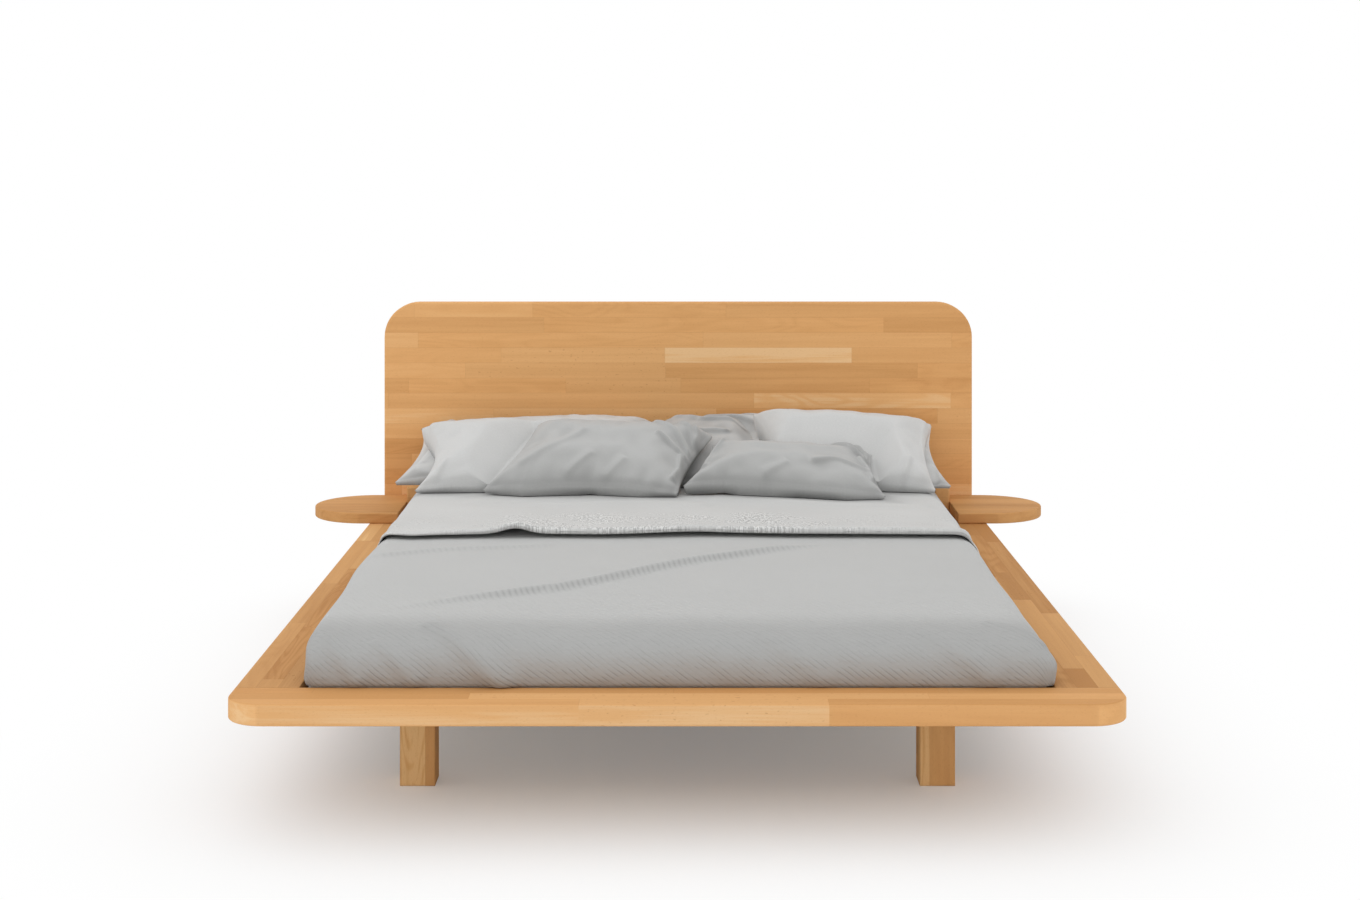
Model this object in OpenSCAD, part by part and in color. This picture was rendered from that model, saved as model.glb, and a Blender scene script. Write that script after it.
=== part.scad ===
// Low wooden double bed: a wide flat surround on recessed legs, a tall panel
// headboard with two half-round bedside shelves, a slatted base and made-up bedding.
// The origin is on the floor, midway between the sides and between the two ends.
// +Z is up and +Y points from the foot of the bed to its headboard.

/* [Mattress] */
// Width of the mattress that the frame takes
mattress_w = 1400; // [1400:10:1800]
// Length of the mattress
mattress_l = 2000; // [1900:10:2200]
// Thickness of the mattress
mattress_t = 130; // [120:1:180]
// Space left on each side of the mattress
side_play = 4; // [3:1:8]
// Space left at each end of the mattress
end_play = 6; // [4:1:10]
// Depth by which the mattress sits below the top of the surround
mattress_sink = 55; // [45:1:60]
// Rounding of the mattress corners, seen from above
mattress_corner_r = 45; // [30:1:60]

/* [Surround] */
// Width of the flat side and foot boards
rail_w = 121; // [115:1:150]
// Thickness of the side and foot boards
rail_t = 40; // [34:1:46]
// Height of the top of the surround above the floor
rail_top = 260; // [250:1:320]
// Radius of the two rounded foot corners
corner_r = 73; // [40:1:85]
// Easing of the long edges that are seen
edge_r = 4; // [2:0.5:6]

/* [Headboard and shelves] */
// Height of the headboard above the floor
headboard_top = 828; // [700:1:1100]
// Height of the headboard's lower edge above the floor
headboard_low = 120; // [60:1:120]
// Thickness of the headboard
headboard_t = 40; // [32:1:46]
// Radius of the headboard's upper corners
headboard_r = 97; // [60:1:140]
// Thickness of the bedside shelves
shelf_t = 28; // [24:1:34]
// Depth of a shelf, twice the radius of its round end
shelf_d = 300; // [260:2:340]
// How far a shelf reaches out past the surround
shelf_reach = 166; // [150:1:200]
// Thickness of the upright block between mattress and shelf
block_t = 40; // [34:1:44]
// Depth of that block in front of the headboard
block_d = 120; // [100:1:140]
// Height of that block above the surround
block_h = 66; // [56:1:80]
// Step from the surround's inner edge to the block
block_step = 3; // [1:1:6]

/* [Legs and beams] */
// Side of the square legs
leg_s = 70; // [64:1:80]
// Distance from the outer side of the surround to the middle of a leg
leg_inset = 309.5; // [290:0.5:350]
// Distance from the foot of the bed to the front face of the foot legs
leg_setback = 376; // [340:1:420]
// Thickness of the beams that the legs straddle
beam_t = 45; // [38:1:50]
// Height of those beams
beam_h = 67; // [60:1:72]
// Length of beam that shows past the apron
beam_end = 28; // [15:1:40]
// Length of the tenons on the centre beam
tenon_l = 20; // [12:1:22]
// Thickness of those tenons
tenon_t = 15; // [10:1:20]
// Height of those tenons
tenon_h = 36; // [24:1:40]

/* [Aprons and ledgers] */
// Thickness of the aprons under the side boards
apron_t = 28; // [24:1:34]
// Height of the aprons
apron_h = 80; // [70:1:90]
// Height left at the raked foot end of an apron
apron_nose = 30; // [20:1:40]
// Length of that rake
apron_rake = 170; // [120:1:200]
// Step from the foot board to the end of an apron
apron_step = 10; // [2:1:20]
// Width of the ledgers that carry the slats
ledger_w = 28; // [24:1:34]
// Height of the ledgers
ledger_h = 28; // [24:1:30]
// Height left at the raked foot end of a ledger
ledger_nose = 6; // [4:1:12]
// Length of that rake
ledger_rake = 85; // [60:1:110]
// Thickness of the rail under the head end of the mattress
head_rail_t = 38; // [30:1:45]
// Height of that rail
head_rail_h = 80; // [60:1:80]

/* [Slats] */
// Number of slats
slat_count = 15; // [12:1:17]
// Width of a slat
slat_w = 70; // [60:1:80]
// Thickness of a slat
slat_t = 18; // [15:1:21]
// Space left at each end of a slat
slat_play = 4; // [2:1:6]
// Distance from the foot board to the first slat
slat_margin = 30; // [20:1:60]
// Easing of the slats and of the parts under the bed
ease = 2; // [1:0.5:3]

/* [Fastenings] */
// Diameter of the wooden dowels
dowel_d = 10; // [8:1:12]
// Length of dowel in each of the two parts that it joins
dowel_half = 22; // [16:1:22]
// Diameter of the bolts through the legs
bolt_d = 8; // [6:1:10]
// Diameter of the bolts that hold the headboard
headbolt_d = 7; // [5:1:8]
// Diameter of the wood screws
screw_d = 5; // [4:0.5:6]
// How far the small screws go into the second part
small_bite = 12; // [10:1:14]
// How far the long screws go up into the surround
deep_bite = 26; // [20:1:30]
// How far the headboard's bolts go in past its front face
headbolt_bite = 34; // [25:1:34]
// Wood left above the recess of an apron's screw
apron_web = 35; // [25:1:45]
// Clearance between a fastening and its hole, on the diameter
hole_play = 0.4; // [0.2:0.1:1]
// Depth of the recess over a headboard bolt
recess = 8; // [5:1:12]
// Thickness of the steel plates under the foot corners
plate_t = 3; // [2:0.5:4]
// Width of those plates
plate_w = 64; // [54:1:70]
// Length of those plates
plate_l = 96; // [80:1:120]
// Step from an apron to those plates
plate_step = 3; // [1:1:8]
// Wood left between a block's dowels and its headboard bolt
bolt_web = 8; // [5:1:12]

/* [Bedding] */
// Thickness of the duvet on top of the bed
duvet_t = 18; // [12:1:40]
// How far the duvet swells over the inner edge of the surround
duvet_swell = 4; // [1:1:12]
// Width of the duvet's rounded shoulder along the sides
duvet_shoulder = 62; // [40:1:90]
// Width of its shoulder at the foot, where the filling slopes off
duvet_foot_shoulder = 150; // [90:1:170]
// Rounding of the duvet's foot corners, seen from above
duvet_corner_r = 25; // [20:1:50]
// Width of the rounded shoulder of the mattress
mattress_shoulder = 70; // [60:1:90]
// Distance from the headboard to the duvet's head edge
duvet_head_gap = 150; // [130:1:250]
// Thickness of the part that is turned back
turn_t = 8; // [4:1:15]
// Distance from the headboard to the hem of that part
turn_l = 1008; // [700:1:1300]
// Height of the waves along that hem
turn_wave = 7; // [0:1:12]
// How much thicker that part is at its rolled hem
turn_hem = 8; // [0:1:12]
// How much sooner than the duvet that part ends under the pillows
turn_step = 20; // [5:1:60]
// Distance from the headboard to the front edge of the back pillows
pillow_reach = 350; // [320:1:380]
// Height of the rear edge of those pillows above the bedding
pillow_rise = 130; // [115:1:145]
// Thickness of a sleeping pillow in front of its seam
pillow_fill = 74; // [50:1:80]
// Thickness of a small cushion in front of its seam
cushion_fill = 70; // [40:1:75]
// How far the sides of a pillow draw in between its corners, as a share of its size
draw_in = 0.07; // [0.03:0.01:0.12]

/* [Hidden] */
$fn = 48;
soft_gap = 0.3;
duvet_blunt = 3;
mattress_blunt = 2.2;
lift_x = -380;
lift_w = 60;

// Places of fastenings, as shares of the part that they go through
leg_bolt_shares = [0.28, 0.72];
dowel_shares = [0.26, 0.74];
headbolt_shares = [-0.42, -0.14, 0.14, 0.42];
plate_shares = [-0.3, 0.3];
shelf_shares = [-0.33, 0, 0.25];

// Steps and roundness of the soft forms
side_steps = 10;
foot_steps = 12;
hem_rows = 8;
corner_steps = 5;
shoulder_steps = 6;
crown_r = 20;
mattress_hem = 6;
plump_blunt = 2.6;
plump_round = 0.6;
inner_rows = [0.35, 0.7, 1];

// Slopes along which the pillows lean: distance of the slope's foot from the headboard as a
// share of the reach, and its steepness as a share of the rise over the reach
back_lean = [1.071, 1.346];
front_lean = [1.3, 1.615];
flat = [0, 0];
open_air = [6, 27];
sink_depth = 160;
less_full = 0.84;

// Colours
tan_beech = [0.87, 0.67, 0.44];
pale_beech = [0.91, 0.74, 0.53];
deep_beech = [0.78, 0.57, 0.37];
birch = [0.9, 0.8, 0.62];
steel = [0.66, 0.67, 0.69];
ticking = [0.93, 0.92, 0.89];
duvet_grey = [0.75, 0.76, 0.75];
linen_grey = [0.82, 0.82, 0.81];
cushion_grey = [0.7, 0.71, 0.7];

// Plan of the frame
inner_w = mattress_w + 2 * side_play;
inner_l = mattress_l + 2 * end_play;
frame_w = inner_w + 2 * rail_w;
foot_y = -(rail_w + inner_l + headboard_t) / 2;
well_y = foot_y + rail_w;
face_y = well_y + inner_l;
back_y = face_y + headboard_t;

// Heights
rail_z = rail_top - rail_t;
slat_top = rail_top - mattress_sink;
slat_z = slat_top - slat_t;
ledger_z = slat_z - ledger_h;
beam_z = slat_z - beam_h;
apron_z = rail_z - apron_h;

// Under the bed
foot_leg_y = foot_y + leg_setback + leg_s / 2;
head_leg_y = face_y - (leg_setback - rail_w) - leg_s / 2;
centre_leg_y = (foot_leg_y + head_leg_y) / 2;
leg_x = frame_w / 2 - leg_inset;
apron_x = inner_w / 2;
ledger_x = apron_x - ledger_w;
head_rail_y = face_y - head_rail_t;
head_rail_z = slat_top - head_rail_h;
block_x = inner_w / 2 + block_step;
shelf_x = block_x + block_t;
shelf_end = frame_w / 2 + shelf_reach;
shelf_mid_y = face_y - shelf_d / 2;

// Slats: each one's front edge, and the middles of the gaps after it
slat_first = well_y + slat_margin;
slat_pitch = (head_rail_y - ease - slat_w - slat_first) / (slat_count - 1);
function slat_y(i) = slat_first + (i - 1) * slat_pitch;
function slat_mid(i) = slat_y(i) + slat_w / 2;
function gap_mid(i) = slat_mid(i) + slat_pitch / 2;
function slat_name(i) = str("slat_", i < 10 ? "0" : "", i);

// Fastenings
screw_head_d = 2 * screw_d;
screw_head_h = screw_d / 2;
bolt_head_d = 2.5 * bolt_d;
bolt_head_h = bolt_d / 2;
nut_h = 0.8 * bolt_d;
nut_d = 1.9 * bolt_d;
headbolt_head_d = 2 * headbolt_d;
headbolt_head_h = headbolt_d / 2;
slat_screw_l = slat_t + small_bite;
ledger_screw_l = ledger_w + small_bite;
ledger_screw_z = ledger_z + ledger_h / 2;
apron_screw_l = apron_web + deep_bite;
shelf_screw_l = rail_t + small_bite;
beam_screw_l = rail_z - beam_z + deep_bite;
plate_screw_l = plate_t + small_bite;
headbolt_l = headboard_t - recess + headbolt_bite;
apron_mid = apron_x + apron_t / 2;
shelf_screw_x = (shelf_x + frame_w / 2) / 2;
plate_x = apron_x + apron_t + plate_step;
apron_screw_ys = [for (i = [2 : 3 : slat_count - 1]) slat_mid(i)];
ledger_screw_ys = [for (i = [1 : 2 : slat_count - 1]) gap_mid(i)];
leg_bolt_zs = [for (s = leg_bolt_shares) beam_z + beam_h * s];
shelf_screw_ys = [for (s = shelf_shares) shelf_mid_y + shelf_d * s];
block_dowel_ys = [for (s = dowel_shares) face_y - block_d * s];
head_dowel_zs = [for (s = dowel_shares) apron_z + (slat_top - apron_z) * s];
head_rail_bolt_xs = [for (s = headbolt_shares) inner_w * s];
head_rail_bolt_z = head_rail_z + head_rail_h / 2;
rail_bolt_x = shelf_screw_x - screw_head_d - headbolt_d / 2;
block_mid = block_x + block_t / 2;
block_bolt_z = rail_top + dowel_half + headbolt_d + bolt_web;
rail_dowel_xs = [apron_x + dowel_d * 2, frame_w / 2 - dowel_d * 2];
plate_screw_xs = [for (s = dowel_shares) plate_x + plate_w * s];
plate_screw_ys = [for (s = plate_shares) well_y + plate_l * s];

// Bedding
bed_side = inner_w / 2 + duvet_swell;
bed_foot = well_y - duvet_swell;
hem_z = rail_top + soft_gap;
mattress_top = slat_top + mattress_t;
duvet_z = mattress_top + soft_gap + duvet_t;
bed_z = duvet_z + soft_gap + turn_t;
bed_head = face_y - duvet_head_gap;
pillow_rest = bed_z + soft_gap;

// Profiles and boards

// Rectangle with its four corners rounded
module eased_rect(w, h, r) {
    translate([r, 0]) square([w - 2 * r, h]);
    translate([0, r]) square([w, h - 2 * r]);
    for (x = [r, w - r], y = [r, h - r]) translate([x, y]) circle(r);
}

// Rectangle whose two corners on the +X side are rounded
module lipped_rect(w, h, r) {
    square([w - r, h]);
    translate([0, r]) square([w, h - 2 * r]);
    for (y = [r, h - r]) translate([w - r, y]) circle(r);
}

// Profile drawn in X and Z, run along +Y
module run_y(l) {
    translate([0, l, 0]) rotate([90, 0, 0]) linear_extrude(l) children();
}

// Profile drawn in Y and Z, run along +X
module run_x(l) {
    rotate([90, 0, 90]) linear_extrude(l) children();
}

// Copies a part to both sides of the bed
module both_sides() {
    children();
    mirror([1, 0, 0]) children();
}

// Fastenings: each points down, with the top of its head at the origin

module wood_screw(l) {
    cylinder_down(screw_head_h, screw_head_d / 2, screw_d / 2);
    translate([0, 0, -screw_head_h]) cylinder_down(l - screw_head_h, screw_d / 2, screw_d / 2);
}

module screw_hole(l) {
    r = (screw_d + hole_play) / 2;
    head_r = (screw_head_d + hole_play) / 2;
    cylinder_down(screw_head_h, head_r, r);
    translate([0, 0, -screw_head_h]) cylinder_down(l - screw_head_h + hole_play, r, r);
}

module cylinder_down(h, r_top, r_low) {
    translate([0, 0, -h]) cylinder(h = h, r1 = r_low, r2 = r_top);
}

// Headboard bolt, flush in its recess, pointing along -Y from the origin
module headboard_bolt() {
    rotate([-90, 0, 0]) {
        cylinder_down(headbolt_head_h, headbolt_head_d / 2, headbolt_head_d / 2);
        translate([0, 0, -headbolt_head_h])
            cylinder_down(headbolt_l - headbolt_head_h, headbolt_d / 2, headbolt_d / 2);
    }
}

// Stepped hole for that bolt: from the panel's back face
module headboard_bolt_hole() {
    r = (headbolt_d + hole_play) / 2;
    head_r = (headbolt_head_d + hole_play) / 2;
    depth = recess + headbolt_head_h;
    translate([0, recess, 0]) rotate([-90, 0, 0]) {
        cylinder_down(depth, head_r, head_r);
        translate([0, 0, -depth])
            cylinder_down(headbolt_l - headbolt_head_h + hole_play, r, r);
    }
}

// Places of the headboard's bolts, on the floor of their recesses
module at_headboard_bolts() {
    y = back_y - recess;
    for (x = head_rail_bolt_xs) translate([x, y, head_rail_bolt_z]) children();
    both_sides() translate([rail_bolt_x, y, rail_z + rail_t / 2]) children();
    both_sides() translate([block_mid, y, block_bolt_z]) children();
}

// Places of the dowels, each drawn along +Z and centred on its joint
module at_rail_dowels() {
    for (x = rail_dowel_xs)
        translate([x, well_y, rail_z + rail_t / 2]) rotate([90, 0, 0]) children();
}

module at_block_dowels() {
    for (y = block_dowel_ys) translate([block_mid, y, rail_top]) children();
}

module at_head_dowels() {
    for (z = head_dowel_zs)
        translate([apron_x, head_rail_y + head_rail_t / 2, z]) rotate([0, 90, 0]) children();
}

module dowel() {
    cylinder(h = 2 * dowel_half, d = dowel_d, center = true);
}

module dowel_hole() {
    cylinder(h = 2 * dowel_half + hole_play, d = dowel_d + hole_play, center = true);
}

// Surround

module foot_rail() {
    color(tan_beech) difference() {
        union() {
            translate([-frame_w / 2 + corner_r, foot_y, rail_z]) run_x(frame_w - 2 * corner_r)
                translate([rail_w, 0]) mirror([1, 0]) lipped_rect(rail_w, rail_t, edge_r);
            both_sides() translate([frame_w / 2 - corner_r, foot_y + corner_r, rail_z]) {
                run_y(rail_w - corner_r) lipped_rect(corner_r, rail_t, edge_r);
                rotate([0, 0, -90]) rotate_extrude(angle = 90)
                    lipped_rect(corner_r, rail_t, edge_r);
            }
        }
        both_sides() {
            at_rail_dowels() dowel_hole();
            at_plate_screws() screw_hole(plate_screw_l);
        }
    }
}

module side_rail() {
    color(tan_beech) difference() {
        translate([apron_x, well_y, rail_z]) run_y(inner_l) lipped_rect(rail_w, rail_t, edge_r);
        at_rail_dowels() dowel_hole();
        at_block_dowels() dowel_hole();
        at_headboard_bolts() headboard_bolt_hole();
        at_apron_screws() screw_hole(apron_screw_l);
        at_beam_screws() screw_hole(beam_screw_l);
        at_shelf_screws() screw_hole(shelf_screw_l);
        at_plate_screws() screw_hole(plate_screw_l);
    }
}

module side_rail_right() side_rail();

module side_rail_left() mirror([1, 0, 0]) side_rail();

// Steel plates and screws under the two butt joints

module corner_plates() {
    color(steel) both_sides() difference() {
        translate([plate_x, well_y - plate_l / 2, rail_z - plate_t])
            linear_extrude(plate_t) eased_rect(plate_w, plate_l, 2 * ease);
        at_plate_screws() screw_hole(plate_screw_l);
    }
}

module at_plate_screws() {
    for (x = plate_screw_xs, y = plate_screw_ys)
        translate([x, y, rail_z - plate_t]) rotate([180, 0, 0]) children();
}

module plate_screws() {
    color(steel) both_sides() at_plate_screws() wood_screw(plate_screw_l);
}

// Headboard, blocks and shelves

module headboard() {
    color(pale_beech) difference() {
        union() {
            translate([-frame_w / 2, face_y, headboard_low])
                linear_extrude(headboard_top - headboard_r - headboard_low)
                    eased_rect(frame_w, headboard_t, edge_r);
            translate([-frame_w / 2 + headboard_r, face_y, headboard_top - headboard_r])
                run_x(frame_w - 2 * headboard_r) rotate(90) mirror([0, 1])
                    lipped_rect(headboard_r, headboard_t, edge_r);
            both_sides() translate([frame_w / 2 - headboard_r, back_y, headboard_top - headboard_r])
                rotate([90, 0, 0]) rotate_extrude(angle = 90)
                    lipped_rect(headboard_r, headboard_t, edge_r);
        }
        at_headboard_bolts() headboard_bolt_hole();
    }
}

module headboard_block() {
    color(tan_beech) difference() {
        translate([block_x, face_y - block_d, rail_top])
            linear_extrude(block_h) eased_rect(block_t, block_d, edge_r);
        at_block_dowels() dowel_hole();
        at_headboard_bolts() headboard_bolt_hole();
    }
}

module headboard_block_right() headboard_block();

module headboard_block_left() mirror([1, 0, 0]) headboard_block();

module shelf() {
    shelf_r = shelf_d / 2;
    color(pale_beech) difference() {
        union() {
            translate([shelf_x, face_y - shelf_d, rail_top])
                run_x(shelf_end - shelf_r - shelf_x) eased_rect(shelf_d, shelf_t, edge_r);
            translate([shelf_end - shelf_r, shelf_mid_y, rail_top])
                rotate([0, 0, -90]) rotate_extrude(angle = 180)
                    lipped_rect(shelf_r, shelf_t, edge_r);
        }
        at_shelf_screws() screw_hole(shelf_screw_l);
    }
}

module shelf_right() shelf();

module shelf_left() mirror([1, 0, 0]) shelf();

module at_shelf_screws() {
    for (y = shelf_screw_ys)
        translate([shelf_screw_x, y, rail_z]) rotate([180, 0, 0]) children();
}

module shelf_screws() {
    color(steel) both_sides() at_shelf_screws() wood_screw(shelf_screw_l);
}

module headboard_bolts() {
    color(steel) at_headboard_bolts() headboard_bolt();
}

// Aprons, ledgers and the rail under the head end

// Side view of a bar whose foot end is raked up to a nose
module raked_bar(l, h, nose, rake) {
    polygon([[0, h], [l, h], [l, 0], [rake, 0], [0, h - nose]]);
}

module at_beam_screws() {
    for (y = [foot_leg_y, head_leg_y])
        translate([apron_mid, y, beam_z]) rotate([180, 0, 0]) children();
}

module at_apron_screws() {
    for (y = apron_screw_ys)
        translate([apron_mid, y, rail_z - apron_web]) rotate([180, 0, 0]) children();
}

module at_ledger_screws() {
    for (y = ledger_screw_ys)
        translate([ledger_x, y, ledger_screw_z]) rotate([0, -90, 0]) children();
}

module at_slat_screws(i) {
    translate([ledger_x + ledger_w / 2, slat_mid(i), slat_top]) children();
}

module apron() {
    y = well_y + apron_step;
    color(deep_beech) difference() {
        translate([apron_x, y, apron_z]) rotate([90, 0, 90]) linear_extrude(apron_t)
            raked_bar(face_y - y, apron_h, apron_nose, apron_rake);
        for (beam_y = [foot_leg_y, head_leg_y])
            translate([apron_x - ease, beam_y - beam_t / 2, beam_z])
                cube([apron_t + 2 * ease, beam_t, ledger_z - beam_z]);
        at_apron_screws() {
            screw_hole(apron_screw_l);
            cylinder(h = apron_h, d = screw_head_d + hole_play);
        }
        at_beam_screws() screw_hole(beam_screw_l);
        at_ledger_screws() screw_hole(ledger_screw_l);
        at_head_dowels() dowel_hole();
    }
}

module apron_right() apron();

module apron_left() mirror([1, 0, 0]) apron();

module ledger() {
    color(deep_beech) difference() {
        translate([ledger_x, slat_first, ledger_z]) rotate([90, 0, 90]) linear_extrude(ledger_w)
            raked_bar(head_rail_y - slat_first, ledger_h, ledger_nose, ledger_rake);
        at_ledger_screws() screw_hole(ledger_screw_l);
        for (i = [1 : slat_count]) at_slat_screws(i) screw_hole(slat_screw_l);
    }
}

module ledger_right() ledger();

module ledger_left() mirror([1, 0, 0]) ledger();

module head_rail() {
    color(deep_beech) difference() {
        translate([-inner_w / 2, head_rail_y, head_rail_z])
            run_x(inner_w) eased_rect(head_rail_t, head_rail_h, ease);
        both_sides() at_head_dowels() dowel_hole();
        at_headboard_bolts() headboard_bolt_hole();
    }
}

module dowels() {
    color(birch) both_sides() {
        at_rail_dowels() dowel();
        at_block_dowels() dowel();
        at_head_dowels() dowel();
    }
}

module apron_screws() {
    color(steel) both_sides() at_apron_screws() wood_screw(apron_screw_l);
}

module ledger_screws() {
    color(steel) both_sides() at_ledger_screws() wood_screw(ledger_screw_l);
}

module beam_screws() {
    color(steel) both_sides() at_beam_screws() wood_screw(beam_screw_l);
}

// Beams and legs

module cross_beam(y) {
    full = 2 * (apron_x + apron_t + beam_end);
    color(deep_beech) difference() {
        translate([-full / 2, y - beam_t / 2, beam_z]) cube([full, beam_t, beam_h]);
        both_sides() {
            translate([ledger_x, y - beam_t, ledger_z])
                cube([full / 2, 2 * beam_t, beam_h]);
            at_beam_screws() screw_hole(beam_screw_l);
            translate([leg_x, y, 0]) leg_bolt_holes();
        }
        translate([0, y + inward(y) * beam_t / 2, beam_z + beam_h / 2])
            cube([tenon_t, 2 * tenon_l, tenon_h], center = true);
    }
}

// Side of a cross beam that faces the middle of the bed
function inward(y) = y < centre_leg_y ? 1 : -1;

module cross_beam_foot() cross_beam(foot_leg_y);

module cross_beam_head() cross_beam(head_leg_y);

module centre_beam() {
    y = foot_leg_y + beam_t / 2;
    l = head_leg_y - beam_t / 2 - y;
    color(deep_beech) difference() {
        union() {
            translate([-beam_t / 2, y, beam_z]) cube([beam_t, l, beam_h]);
            translate([-tenon_t / 2, y - tenon_l, beam_z + (beam_h - tenon_h) / 2])
                cube([tenon_t, l + 2 * tenon_l, tenon_h]);
        }
        translate([0, centre_leg_y, 0]) rotate(90) leg_bolt_holes();
    }
}

// Leg that straddles a beam running along X
module leg() {
    difference() {
        translate([-leg_s / 2, -leg_s / 2, 0]) linear_extrude(slat_z) eased_rect(leg_s, leg_s, ease);
        translate([-leg_s, -beam_t / 2, beam_z]) cube([2 * leg_s, beam_t, 2 * beam_h]);
        leg_bolt_holes();
    }
}

module leg_bolt_holes() {
    for (z = leg_bolt_zs) translate([0, 0, z]) rotate([90, 0, 0])
        cylinder(h = leg_s + 2 * ease, d = bolt_d + hole_play, center = true);
}

// Two bolts with their nuts through a leg, heads on the side that faces -Y
module leg_bolt_pair() {
    tail = leg_s / 2 + nut_h + bolt_d / 4;
    for (z = leg_bolt_zs) translate([0, 0, z]) rotate([90, 0, 0]) {
        translate([0, 0, -tail]) cylinder(h = tail + leg_s / 2, d = bolt_d);
        translate([0, 0, leg_s / 2])
            cylinder(h = bolt_head_h, d1 = bolt_head_d, d2 = (bolt_d + bolt_head_d) / 2);
        translate([0, 0, -leg_s / 2 - nut_h]) cylinder(h = nut_h, d = nut_d, $fn = 6);
    }
}

module leg_foot_left() color(deep_beech) translate([-leg_x, foot_leg_y, 0]) leg();

module leg_foot_right() color(deep_beech) translate([leg_x, foot_leg_y, 0]) leg();

module leg_head_left() color(deep_beech) translate([-leg_x, head_leg_y, 0]) leg();

module leg_head_right() color(deep_beech) translate([leg_x, head_leg_y, 0]) leg();

module centre_leg() color(deep_beech) translate([0, centre_leg_y, 0]) rotate(90) leg();

module leg_bolts() {
    color(steel) {
        for (x = [-leg_x, leg_x]) {
            translate([x, foot_leg_y, 0]) leg_bolt_pair();
            translate([x, head_leg_y, 0]) rotate(180) leg_bolt_pair();
        }
        translate([0, centre_leg_y, 0]) rotate(90) leg_bolt_pair();
    }
}

// Slats

module slat(i) {
    color(birch) difference() {
        translate([-inner_w / 2 + slat_play, slat_y(i), slat_z])
            run_x(inner_w - 2 * slat_play) eased_rect(slat_w, slat_t, ease);
        both_sides() at_slat_screws(i) screw_hole(slat_screw_l);
    }
}

module slat_screws() {
    color(steel) both_sides() for (i = [1 : slat_count])
        at_slat_screws(i) wood_screw(slat_screw_l);
}

// Bedding

// Shoulder of a soft layer: pairs of inset and height from its hem to its top
function shoulder(wide, low, high, blunt, n) = [
    for (i = [0 : n]) let (a = 90 * i / n)
        [wide * (1 - pow(cos(a), 2 / blunt)), low + (high - low) * pow(sin(a), 2 / blunt)]];

function arc(x, y, r, from, n) = [
    for (i = [0 : n]) let (a = from + 90 * i / n) [x + r * cos(a), y + r * sin(a)]];

function line(p, q, n) = [for (i = [1 : n - 1]) p + (q - p) * i / n];

// Plan of a layer over the sides and foot of the bed, drawn in by an inset, which is
// slack times as large at the foot
function u_plan(half, foot, head, r, inset, slack = 1) =
    let (a = half - inset, y = foot + inset * slack, rr = max(r - inset, crown_r))
    concat([[-a, head]], line([-a, head], [-a, y + rr], side_steps),
           arc(rr - a, y + rr, rr, 180, corner_steps), line([rr - a, y], [a - rr, y], foot_steps),
           arc(a - rr, y + rr, rr, 270, corner_steps),
           line([a, y + rr], [a, head], side_steps), [[a, head]]);

// Closed plan of the mattress, drawn in by an inset
function ring_plan(half, y0, y1, r, inset) =
    let (a = half - inset, rr = max(r - inset, crown_r), lo = y0 + inset, hi = y1 - inset)
    concat(arc(rr - a, lo + rr, rr, 180, corner_steps), arc(a - rr, lo + rr, rr, 270, corner_steps),
           arc(a - rr, hi - rr, rr, 0, corner_steps), arc(rr - a, hi - rr, rr, 90, corner_steps));

function flatten(rows) = [for (row = rows) each row];

// Two triangles for each cell of a grid of points, its rows n long, from index base
function grid_faces(rows, n, base, turned) = flatten([
    for (j = [0 : rows - 2], i = [0 : n - 2])
        let (a = base + j * n + i) cell(a, a + 1, a + n + 1, a + n, turned)]);

function cell(a, b, c, d, turned) = turned ? [[a, c, b], [a, d, c]] : [[a, b, c], [a, c, d]];

// Faces that close the last row of a grid: its two long sides are joined to each other,
// and a fan fills its rounded end
function bridge_faces(rows, n, base, turned) =
    let (first = base + (rows - 1) * n, k = side_steps)
    concat(flatten([for (i = [0 : k - 1])
               cell(first + i, first + i + 1, first + n - 2 - i, first + n - 1 - i, turned)]),
           [for (i = [k + 1 : n - k - 2]) turned ? [first + k, first + i + 1, first + i]
                                                 : [first + k, first + i, first + i + 1]]);

// Rim of a grid of points; the far row is left out of it where a bridge closes that row
function rim(rows, n, bridged) = concat(
    [for (i = [0 : n - 1]) i],
    [for (j = [1 : rows - 1]) j * n + n - 1],
    bridged ? [] : [for (i = [n - 2 : -1 : 1]) (rows - 1) * n + i],
    [for (j = [rows - 1 : -1 : 1]) j * n]);

// Solid between two sheets of points that share one grid
module between_sheets(upper, lower, bridged = false) {
    rows = len(upper);
    n = len(upper[0]);
    gap = rows * n;
    edge = rim(rows, n, bridged);
    polyhedron(
        points = concat(flatten(upper), flatten(lower)),
        faces = concat(
            grid_faces(rows, n, 0, true), grid_faces(rows, n, gap, false),
            bridged ? bridge_faces(rows, n, 0, true) : [],
            bridged ? bridge_faces(rows, n, gap, false) : [],
            flatten([for (k = [0 : len(edge) - 1])
                let (p = edge[k], q = edge[(k + 1) % len(edge)])
                [[p, q, q + gap], [p, q + gap, p + gap]]])));
}

// Mattress: straight lower sides and a rounded upper edge
mattress_side = shoulder(mattress_shoulder, rail_top, mattress_top, mattress_blunt, shoulder_steps);
mattress_profile = concat(
    [[mattress_hem, slat_top], [0, slat_top + mattress_hem]], mattress_side);

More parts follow.
